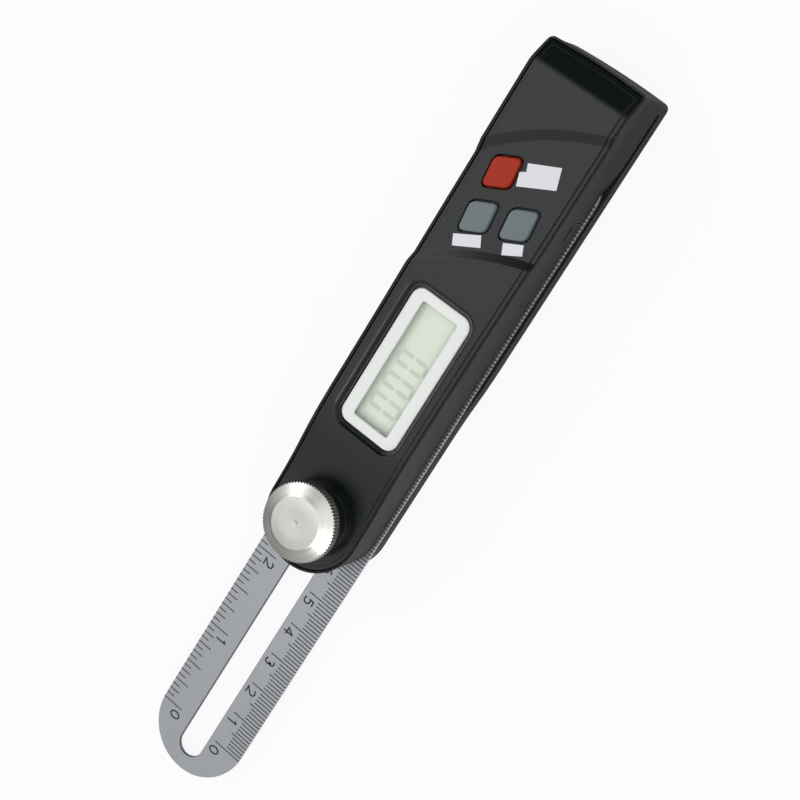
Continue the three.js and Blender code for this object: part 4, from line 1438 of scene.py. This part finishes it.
@dataclass
class HandleShell:
    """Base, far end wall and hollow upper box, moulded as one."""

    draft: float = 0.6
    wall: float = 2.0
    base_edge: float = 0.6
    edge_steps: int = 5
    rim: float = 0.6
    rim_drop: float = 0.3
    slot_closed_at: float = 124.1
    cavity_start: float = -19.0
    cavity_end: float = 121.0
    head_hole: float = 8.9
    hub_hole: float = 7.5
    overlap: float = 0.8
    wall_overlap: float = 0.4
    ledge_inner: float = 9.8
    ledge_outer: float = 11.7
    ledge_height: float = 1.7
    board_post: float = 1.9
    board_pilot: float = 0.95
    pilot_depth: float = 4.0
    column_radius: float = 3.0
    column_height: float = 2.2
    well_radius: float = 2.2
    well_high: float = 7.1
    screw_hole: float = 1.2
    tray_start: float = 71.2
    tray_end: float = 94.0
    tray_high: float = 11.1
    tray_back: float = -11.85
    tray_seam: float = 0.3
    tray_top_seam: float = 0.7
    cell_well: tuple = ((80.3, -6.3, 6.25), (84.9, 11.15, 7.3))
    fairing: Plan = Plan(arc_offset=0.8, near=12.9, far=14.05, flare_start=96.0, flare_stop=113.0, end=126.66)
    fairing_start: float = 95.0
    fairing_low: float = 5.0
    fairing_high: float = 20.0
    fairing_levels: tuple = ((5.4, 14.05, 126.66), (8.0, 13.98, 126.6), (11.0, 13.85, 126.5),
                             (14.0, 13.66, 126.4), (17.0, 13.45, 126.3))

    def _base(self) -> Solid:
        """The base plate with its rounded lower edge, and the far end wall on it.

        Returns:
            The base.
        """
        levels = []
        for i in range(self.edge_steps + 1):
            turn = math.radians(90 * i / self.edge_steps)
            inset, z = self.base_edge * (1 - math.sin(turn)), self.base_edge * (1 - math.cos(turn))
            levels.append((BASE_PLAN.outline(inset), z))
        base = Solid.stack([*levels, (BASE_PLAN.outline(), LEVEL.base_top)])
        step = (BASE_PLAN.end - BOX_PLAN.end + self.draft) / 2
        join_top = (LEVEL.box_low + LEVEL.pivot_face) / 2
        foot = LEVEL.base_top - self.wall_overlap
        end = Solid.stack([(BASE_PLAN.outline(), foot), (BASE_PLAN.outline(step), join_top)])
        corner = (FAR_REACH, SIDE_REACH, LEVEL.box_low + LEVEL.gap)
        return base.add(end.keep(Solid.block((self.slot_closed_at, -SIDE_REACH, LOW_REACH), corner)))

    def _box(self, panel: FacePanel) -> Solid:
        """The upper box as one block: leaning walls under the stepped top line.

        Args:
            panel: Panel whose sunk field also lowers the rim.

        Returns:
            The block.
        """
        spread = self.draft * (HIGH_REACH - LEVEL.box_low) / (LEVEL.face - LEVEL.box_low)
        walls = Solid.stack([(BOX_PLAN.outline(self.draft), LEVEL.box_low),
                             (BOX_PLAN.outline(self.draft - spread), HIGH_REACH)])
        return walls.keep(below_top(self.rim_drop)).cut(panel.field_cut(LEVEL.field_floor - self.rim_drop))

    def _end_fairing(self) -> Solid:
        """Soft swelling of the side walls towards the wider end wall.

        Returns:
            The swelling.
        """
        plans = [(replace(self.fairing, far=far, end=end), z) for z, far, end in self.fairing_levels]
        low = (self.fairing_start, -SIDE_REACH, self.fairing_low)
        return Solid.stack([(plan.outline(), z) for plan, z in plans]).keep(
            Solid.block(low, (FAR_REACH, SIDE_REACH, self.fairing_high)))

    def _openings(self) -> list[Solid]:
        """The holes of the clamp bolt, the battery tray and its cell.

        Returns:
            The cutting bodies.
        """
        gap, under = LEVEL.gap, LEVEL.box_low - LEVEL.gap / 2
        corner = (self.tray_end + self.tray_seam, self.tray_back + gap, self.tray_high + self.tray_top_seam)
        tray = Solid.block((self.tray_start - self.tray_seam, -SIDE_REACH, under), corner)
        return [Solid.rod(self.head_hole, LOW_REACH, LEVEL.base_top + gap / 2),
                Solid.rod(self.hub_hole, under, LEVEL.floor_top + gap), tray, Solid.block(*self.cell_well)]

    def build(self, panel: FacePanel) -> None:
        """Builds the shell.

        Args:
            panel: Panel that sits in the shell.
        """
        gap, floor = LEVEL.gap, LEVEL.floor_top
        corner = (self.cavity_end, SIDE_REACH, HIGH_REACH)
        cavity = Solid.block((self.cavity_start, -SIDE_REACH, LOW_REACH), corner)
        hollow = Solid.slab(BOX_PLAN.outline(self.wall), floor, HIGH_REACH).keep(cavity)
        seat = Solid.slab(BOX_PLAN.outline(self.rim), floor, HIGH_REACH).keep(above_panel(gap))
        shell = self._base().add(self._box(panel), self._end_fairing()).cut(hollow, seat)
        low, high = floor - self.overlap, floor + self.ledge_height
        parts = [Solid.turned([(self.ledge_inner, low), (self.ledge_outer, low), (self.ledge_outer, high),
                               (self.ledge_inner, high)])]
        holes = self._openings()
        for spot in BOARD_SCREWS.spots():
            top = LEVEL.board_low - gap
            parts.append(Solid.rod(self.board_post, low, top, *spot))
            holes.append(Solid.rod(self.board_pilot, top - self.pilot_depth, top + gap, *spot))
        for spot in PANEL_SCREWS.spots():
            parts.append(Solid.rod(self.column_radius, low, floor + self.column_height, *spot))
            holes.append(Solid.rod(self.well_radius, LEVEL.box_low - gap / 2, self.well_high, *spot))
            holes.append(Solid.rod(self.screw_hole, LEVEL.box_low, LEVEL.face, *spot))
        mesh = shell.add(*parts).cut(*holes).mesh
        place_piece("handle_shell", mesh, HOUSING, "handle", ["handle_body"], 28)


LEAST_MITRE = 0.4


def ribbon(line: Outline, width: float, closed: bool, low: float, high: float) -> Solid:
    """A flat stroke of even width along a line.

    Args:
        line: Middle line of the stroke.
        width: Width of the stroke.
        closed: Whether the line runs back to its start.
        low: Lower height.
        high: Upper height.

    Returns:
        The stroke as a closed body.
    """
    spots = [Vector(point) for point in line]
    count = len(spots)
    sides: list[Outline] = [[], []]
    for i, spot in enumerate(spots):
        before = spots[i - 1] if closed or i else spot
        after = spots[(i + 1) % count] if closed or i < count - 1 else spot
        first = (spot - before if before != spot else after - spot).normalized()
        last = (after - spot if after != spot else spot - before).normalized()
        across = Vector((-first.y - last.y, first.x + last.x)).normalized()
        reach = width / 2 / max(across.dot(Vector((-last.y, last.x))), LEAST_MITRE)
        for side, way in zip(sides, (1, -1)):
            side.append(tuple(spot + across * reach * way))
    if closed:
        outer, inner = sorted(sides, key=lambda side: -max(point[0] for point in side))
        return Solid.slab(outer, low, high).cut(Solid.slab(inner, low - 1.0, high + 1.0))
    return Solid.slab(sides[0] + sides[1][::-1], low, high)


def _figure_lines() -> dict[str, list[tuple[Outline, bool]]]:
    """Middle lines of the ten figures about their centres, with whether each is closed.

    Returns:
        The lines by figure.
    """
    oval = [(0.82 * math.cos(math.tau * i / 28), 1.22 * math.sin(math.tau * i / 28)) for i in range(28)]
    six = arc(0.0, -0.46, 0.76, 0.0, 345.0, 24)
    tail = bezier([(0.5, 1.22), (-0.3, 0.95), (-0.76, 0.3), (-0.76, -0.46)], 10)
    three = arc(-0.02, 0.58, 0.64, 150.0, -75.0, 14) + arc(-0.05, -0.5, 0.72, 70.0, -150.0, 16)
    five = [(0.68, 1.22), (-0.5, 1.22), (-0.62, 0.16)] + arc(-0.05, -0.42, 0.8, 125.0, -145.0, 16)
    return {
        "0": [(oval, True)],
        "1": [([(-0.5, 0.72), (0.12, 1.22), (0.12, -1.4)], False)],
        "2": [(arc(0.0, 0.48, 0.74, 160.0, -38.0, 14) + [(-0.8, -1.22), (0.86, -1.22)], False)],
        "3": [(three, False)],
        "4": [([(0.3, -1.4), (0.3, 1.25)], False), ([(0.3, 1.25), (-0.82, -0.5), (0.92, -0.5)], False)],
        "5": [(five, False)],
        "6": [(six, True), (tail, False)],
        "7": [([(-0.8, 1.22), (0.8, 1.22), (-0.2, -1.4)], False)],
        "8": [(arc(0.0, y, radius, 0.0, 345.0, 24), True) for y, radius in ((0.62, 0.58), (-0.52, 0.7))],
        "9": [([(-x, -y) for x, y in six], True), ([(-x, -y) for x, y in tail], False)],
    }


FIGURES = _figure_lines()


@dataclass
class Scale:
    """One printed scale of the blade."""

    name: str
    pitch: float
    count: int
    edge: float
    side: float
    length: float
    extras: tuple
    number_y: float
    number_every: float
    numbers: int
    width: float = 0.28
    etch: float = 0.6
    proud: float = 0.01
    stroke: float = 0.42
    print_low: float = 0.01
    print_high: float = 0.015
    figure_scale: float = 1.1
    figure_step: float = 2.4
    number_shift: float = -2.3

    def build(self, recipe: Recipe, zero: float, top: float) -> None:
        """Builds the marks and numerals.

        Args:
            recipe: Tree that makes the marks.
            zero: Place of the scale's zero.
            top: Height of the blade's face.
        """
        longer = {}
        for i, (every, extra) in enumerate(self.extras, 1):
            longer |= {f"Every{i}": every, f"Extra{i}": extra}
        marks = recipe.run(Count=self.count, Pitch=self.pitch, Start=zero, Edge=self.edge, Side=self.side,
                           Length=self.length, Width=self.width, Low=top - self.etch,
                           Thickness=self.etch + self.proud, **longer)
        place_piece(f"{self.name}_marks", marks, INK, "blade", weighted=False)
        figures = (figure for number in range(self.numbers)
                   for figure in self._numeral(str(number), zero + number * self.number_every, top))
        place_piece(f"{self.name}_numerals", side_by_side(figures), INK, "blade", weighted=False)

    def _numeral(self, text: str, x: float, top: float) -> list[Solid]:
        """The strokes of one number, upright towards -Y.

        Args:
            text: The number.
            x: Place of its mark.
            top: Height of the blade's face.

        Returns:
            A thin body for each figure.
        """
        low, high, grow = top - self.print_low, top + self.print_high, self.figure_scale
        figures = []
        for index, figure in enumerate(text):
            centre = x + self.number_shift - (index - (len(text) - 1) / 2) * self.figure_step
            strokes = []
            for line, closed in FIGURES[figure]:
                turned = [(centre - px * grow, self.number_y - py * grow) for px, py in line]
                strokes.append(ribbon(turned, self.stroke, closed, low, high))
            figures.append(strokes[0].add(*strokes[1:]) if len(strokes) > 1 else strokes[0])
        return figures


@dataclass
class Blade:
    """Slotted steel blade with a millimetre and an inch scale."""

    width: float = 27.0
    slot_width: float = 7.1
    slot_wall: float = 0.6
    zero: float = -71.23
    scale: float = 170.0
    end_inset: float = 0.46
    end_web: float = 4.1
    soft: float = 0.12
    slot_soft: float = 0.2
    slot_over: float = 0.08
    wall_tilt: float = 0.9
    millimetres: Scale = field(default_factory=lambda: Scale(
        "millimetre", 1.0, 171, -13.505, 1.0, 4.75, ((5, 1.0), (10, 2.55)), -6.2, 10.0, 18))
    inches: Scale = field(default_factory=lambda: Scale(
        "inch", 25.4 / 16, 107, 13.505, -1.0, 2.35, ((2, 0.85), (4, 1.1), (8, 0.55), (16, 1.35)), 8.2,
        25.4, 7))

    def _plate(self) -> Solid:
        """The slotted plate with slightly broken edges.

        Returns:
            The plate.
        """
        radius, low, high, soft = self.width / 2, LEVEL.blade_low, LEVEL.blade_high, self.soft
        near, far = self.zero + self.end_inset, self.zero + self.scale - self.end_inset
        rim = ((soft, low), (0.0, low + soft), (0.0, high - soft), (soft, high))
        plate = Solid.stack([(stadium(near, far, radius - inset, 64), z) for inset, z in rim])
        half, wide, over = self.slot_width / 2, self.slot_soft, self.slot_over
        inset = radius - self.end_web - half
        wall = ((wide, low - over), (0.0, low + soft), (0.0, high - self.slot_wall), (0.0, high - soft),
                (wide, high + over))
        slot = [(stadium(near - inset, far + inset, half + grow), z) for grow, z in wall]
        return plate.cut(Solid.stack(slot))

    def build(self) -> None:
        """Builds the blade, the dark upper part of its slot's wall and both scales."""
        plate = place_piece("steel_blade", self._plate().mesh, BLADE_STEEL, "blade", ["blade"])
        plate.data.materials.append(DARK_SLOT_WALL_STEEL.material())
        for face in plate.data.polygons:
            upper = face.center.z > (LEVEL.blade_high - self.slot_wall) * MILLIMETRE
            inner = abs(face.center.y) < self.slot_width * MILLIMETRE
            if upper and inner and abs(face.normal.z) < self.wall_tilt:
                face.material_index = 1
        recipe = tick_recipe()
        for scale in (self.millimetres, self.inches):
            scale.build(recipe, self.zero, LEVEL.blade_high)


@dataclass
class LockKnob:
    """Turned knob with a straight knurl, and its washer."""

    radius: float = 9.83
    grip: float = 3.0
    cone: float = 1.8
    top_radius: float = 6.33
    chamfer: float = 0.35
    brow: float = 0.15
    ledge: float = 0.1
    lip: tuple = ((0.06, 0.03), (-0.06, 0.005))
    dish: tuple = ((3.0, 0.06), (0.7, 0.11), (0.45, 0.2), (0.0, 0.24))
    tooth: float = 0.4
    teeth: int = 76
    grip_tilt: float = 0.35
    grip_margin: float = 0.1
    bore: float = 2.8
    top_wall: float = 1.2
    washer_radius: float = 7.5
    washer_low: float = 21.7
    washer_high: float = 22.2
    washer_edge: float = 0.1

    def _dress_grip(self, knob: bpy.types.Object) -> None:
        """Gives the knurled band its rougher steel, whose darker colour is painted shade.

        Args:
            knob: The finished knob.
        """
        knob.data.materials.append(SHADED_KNURL_STEEL.material())
        centre = Vector((PIVOT_X * MILLIMETRE, 0.0))
        for face in knob.data.polygons:
            reach = (face.center.xy - centre).length
            grooved = reach > (self.radius - self.tooth - self.grip_margin) * MILLIMETRE
            if abs(face.normal.z) < self.grip_tilt and grooved:
                face.material_index = 1

    def build(self) -> None:
        """Builds the knob, its knurl and the washer."""
        low, radius, bore = LEVEL.knob_low, self.radius, self.bore
        shoulder = low + self.grip
        high = shoulder + self.cone
        ceiling, chamfer = high - self.top_wall, self.chamfer
        profile = [(0.0, ceiling), (bore, ceiling), (bore, low), (radius - chamfer, low)]
        profile += [(radius, low + chamfer), (radius, shoulder - self.brow), (radius - self.ledge, shoulder)]
        profile += [(self.top_radius + out, high - drop) for out, drop in self.lip]
        profile += [(place, high - drop) for place, drop in self.dish]
        sizes = {"Teeth": self.teeth, "Radius": radius, "Depth": self.tooth, "Low": low - 1.0, "High": high}
        grooves = knurl_recipe().run(**sizes)
        knob = Solid.turned(profile, steps=4 * self.teeth).cut(Solid(grooves))
        piece = place_piece("knob_turning", knob.mesh, KNOB_STEEL, "knob", ["lock_knob"], 14)
        self._dress_grip(piece)
        low, high, radius, edge = self.washer_low, self.washer_high, self.washer_radius, self.washer_edge
        ring = [(bore, low), (radius - edge, low), (radius, low + edge), (radius, high - edge),
                (radius - edge, high), (bore, high)]
        place_piece("turned_washer", Solid.turned(ring).mesh, PLATED, "washer", ["knob_washer"])


@dataclass
class Pivot:
    """Clamp bolt and bushing."""

    neck_width: float = 6.5
    neck_length: float = 11.0
    overlap: float = 0.3
    stem: float = 2.5
    stem_edge: float = 0.3
    head: float = 8.5
    head_edge: float = 0.4
    head_top_edge: float = 0.1
    recess: float = 0.8
    head_top: float = 3.6
    neck_top: float = 7.45
    top: float = 25.7
    drive_width: float = 1.6
    drive_depth: float = 0.8
    bushing: float = 4.2
    flange: float = 6.2
    bushing_low: float = 11.0
    bushing_flange: float = 1.0

    def build(self) -> None:
        """Builds the bolt and the bushing."""
        low, top, head, edge, brow = self.recess, self.head_top, self.head, self.head_edge, self.head_top_edge
        rim = [(0.0, low), (head - edge, low), (head, low + edge), (head, top - brow), (head - brow, top),
               (0.0, top)]
        half = (self.neck_length - self.neck_width) / 2
        neck = Solid.slab(stadium(-half, half, self.neck_width / 2), top - self.overlap, self.neck_top)
        foot = self.neck_top - self.overlap
        stem = [(0.0, foot), (self.stem, foot), (self.stem, self.top - self.stem_edge),
                (self.stem - self.stem_edge, self.top), (0.0, self.top)]
        side = self.drive_width / 2
        drive = Solid.block((-SIDE_REACH, -side, LOW_REACH), (SIDE_REACH, side, low + self.drive_depth))
        bolt = Solid.turned(rim).add(neck, Solid.turned(stem)).cut(drive)
        place_piece("pivot_bolt", bolt.mesh, BOLT_STEEL, "carrier", ["clamp_bolt"])
        inner, low, high = self.stem + LEVEL.gap, self.bushing_low, LEVEL.collar_top
        step = low + self.bushing_flange
        ring = [(inner, low), (self.flange, low), (self.flange, step), (self.bushing, step),
                (self.bushing, high), (inner, high)]
        place_piece("flanged_bushing", Solid.turned(ring).mesh, BRASS, "handle", ["pivot_bushing"])


@dataclass
class Fasteners:
    """Panel screws in the blade's slot and board screws inside."""

    sets: tuple = (
        ("panel", PANEL_SCREWS, {"Seat": 6.8, "Way": -1.0, "HeadRadius": 1.9, "Radius": 0.9, "Length": 7.5}),
        ("board", BOARD_SCREWS, {"Seat": 13.9, "Way": 1.0, "HeadRadius": 1.7, "Radius": 0.8, "Length": 4.0}),
    )
    head: float = 1.1

    def build(self) -> None:
        """Builds both sets of four screws."""
        recipe = screw_recipe()
        for name, corners, sizes in self.sets:
            mesh = recipe.run(Near=corners.near, Far=corners.far, Side=corners.side, Head=self.head, **sizes)
            nodes = [f"{name}_screw_{i}" for i in range(1, 5)]
            place_piece(f"{name}_screws", mesh, PLATED, "handle", nodes, weighted=False)


@dataclass
class Innards:
    """Plain nodes that keep their shape and get a finish."""

    finishes: tuple = (
        (HOUSING, ("battery_tray",)), (CELL, ("coin_cell",)), (ROTOR, ("encoder_rotor",)),
        (BOARD, ("main_board", "sensor_board")), (SPRING, ("contact_upper", "contact_lower")),
        (STRIP, ("lcd_connector_left", "lcd_connector_right")),
        (SWITCH_CASE, ("switch_power", "switch_hold", "switch_mode")),
    )

    def dress(self) -> None:
        """Gives each node its finish."""
        for finish, names in self.finishes:
            for name in names:
                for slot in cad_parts[name].material_slots:
                    slot.material = finish.material()
                log.info("%s: dressed in %s", name, finish.name)


@dataclass
class Studio:
    """Floor, world, lamps and camera; its lengths are metres."""

    position: tuple = (0.123361, -0.122551, 0.363822)
    right: tuple = (0.5113512408, -0.7503353118, -0.4189472858)
    down: tuple = (-0.81190036, -0.5815937730, 0.0506605228)
    forward: tuple = (-0.2816695118, 0.3142381310, -0.9065962073)
    lens: float = 72.857
    sensor: float = 36.0
    clip_start: float = 0.01
    floor_reach: float = 3.0
    floor_z: float = -0.00005
    floor_tone: float = 0.85
    floor_white: float = 0.9
    # Painted shade: where the object mirrors the floor, the floor's white dims towards +X by up to the depth.
    floor_fade: tuple = (-0.05, 0.12, 0.95)
    zenith: float = 1.12
    horizon: float = 0.30
    rise: Point2 = (0.05, 0.85)
    dark_x: Point2 = (0.40, 0.66)
    dark_y: Point2 = (-0.1, 0.15)
    dark_depth: float = 0.97
    near_x: Point2 = (-0.24, -0.5)
    near_depth: float = 0.38
    low_x: Point2 = (-0.6, -0.85)
    low_depth: float = 0.4
    lamps: tuple = (
        ("key_lamp", (-0.33, -0.47, 0.69), 0.3, 1.0),
        ("fill_lamp", (0.30, 0.72, 0.58), 0.5, 0.7),
    )

    def _floor(self) -> None:
        """A pale floor that keeps the object's shadow, looks white to the camera and clear from beneath, and
        carries a painted shade towards +X in what the object mirrors.
        """
        reach, low = self.floor_reach, self.floor_z
        mesh = bpy.data.meshes.new("floor")
        corners = [(x * reach, y * reach, low) for x, y in ((-1, -1), (1, -1), (1, 1), (-1, 1))]
        mesh.from_pydata(corners, [], [(0, 1, 2, 3)])
        floor = bpy.data.objects.new("floor", mesh)
        bpy.context.collection.objects.link(floor)
        made = bpy.data.materials.new("pale_floor")
        made.use_nodes = True
        made.node_tree.nodes.clear()
        sheet = Sheet(made.node_tree)
        matt = sheet.add("ShaderNodeBsdfDiffuse", {"Color": (*[self.floor_tone] * 3, 1.0)})
        white = sheet.add("ShaderNodeEmission", {"Color": (1.0, 1.0, 1.0, 1.0), "Strength": 1.0})
        path = sheet.add("ShaderNodeLightPath").outputs
        # Painted shade: the floor's white, as seen in reflections only, dims towards +X.
        start, stop, depth = self.floor_fade
        shade = sheet.dimmed(sheet.ramp(sheet.axes(sheet.place())[0], start, stop), depth)
        mirrored = sheet.times(path["Is Glossy Ray"], shade)
        seen = sheet.math("MAXIMUM", path["Is Camera Ray"], mirrored, path["Is Transmission Ray"])
        share = sheet.times(seen, self.floor_white)
        mixed = sheet.add("ShaderNodeMixShader", {0: share, 1: matt.outputs[0], 2: white.outputs[0]})
        clear = sheet.add("ShaderNodeBsdfTransparent")
        behind = sheet.add("ShaderNodeNewGeometry").outputs["Backfacing"]
        whole = sheet.add("ShaderNodeMixShader", {0: behind, 1: mixed.outputs[0], 2: clear.outputs[0]})
        sheet.add("ShaderNodeOutputMaterial", {"Surface": whole.outputs[0]})
        mesh.materials.append(made)

    def _world(self) -> None:
        """Plain pale surroundings, darker towards the horizon and where the tops mirror less light."""
        world = bpy.data.worlds.new("pale_world")
        world.use_nodes = True
        world.node_tree.nodes.clear()
        sheet = Sheet(world.node_tree)
        x, y, z = sheet.axes(sheet.place("Generated"))
        risen = sheet.times(sheet.ramp(z, *self.rise), self.zenith - self.horizon)
        level = sheet.plus(risen, self.horizon)
        patch = sheet.times(sheet.ramp(x, *self.dark_x), sheet.ramp(y, *self.dark_y))
        middle = sheet.times(sheet.ramp(x, *self.near_x), self.near_depth)
        near = sheet.dimmed(middle, sheet.dimmed(sheet.ramp(x, *self.low_x), self.low_depth))
        plain = sheet.times(level, sheet.times(sheet.dimmed(patch, self.dark_depth), near))
        strength = sheet.math("MAXIMUM", plain, sheet.add("ShaderNodeLightPath").outputs["Is Camera Ray"])
        sky = sheet.add("ShaderNodeBackground", {"Color": (1.0, 1.0, 1.0, 1.0), "Strength": strength})
        sheet.add("ShaderNodeOutputWorld", {"Surface": sky.outputs[0]})
        bpy.context.scene.world = world

    def _camera(self) -> None:
        """The camera of the photograph, from the fit to its scales."""
        data = bpy.data.cameras.new("camera")
        data.sensor_width, data.lens, data.clip_start = self.sensor, self.lens, self.clip_start
        camera = bpy.data.objects.new("camera", data)
        turn = Matrix((self.right, -Vector(self.down), -Vector(self.forward))).transposed()
        camera.matrix_world = Matrix.Translation(self.position) @ turn.to_4x4()
        bpy.context.collection.objects.link(camera)
        bpy.context.scene.camera = camera
        bpy.context.scene.view_settings.view_transform = "Standard"

    def build(self) -> None:
        """Builds the stage, the lamps and the camera."""
        self._floor()
        self._world()
        for name, place, size, power in self.lamps:
            light = bpy.data.lights.new(name, "AREA")
            light.shape, light.size, light.energy = "DISK", size, power
            lamp = bpy.data.objects.new(name, light)
            turn = Vector(place).to_track_quat("Z", "Y").to_matrix().to_4x4()
            lamp.matrix_world = Matrix.Translation(place) @ turn
            bpy.context.collection.objects.link(lamp)
        self._camera()


def main() -> None:
    """Builds the sub-assemblies in order."""
    logging.basicConfig(level=logging.INFO, format="%(name)s %(message)s")
    display, keypad, panel = Display(), Keypad(), FacePanel()
    HandleShell().build(panel)
    panel.build(keypad, display)
    for part in (display, keypad, Blade(), LockKnob(), Pivot(), Fasteners()):
        part.build()
    Innards().dress()
    Studio().build()


if __name__ == "__main__":
    main()
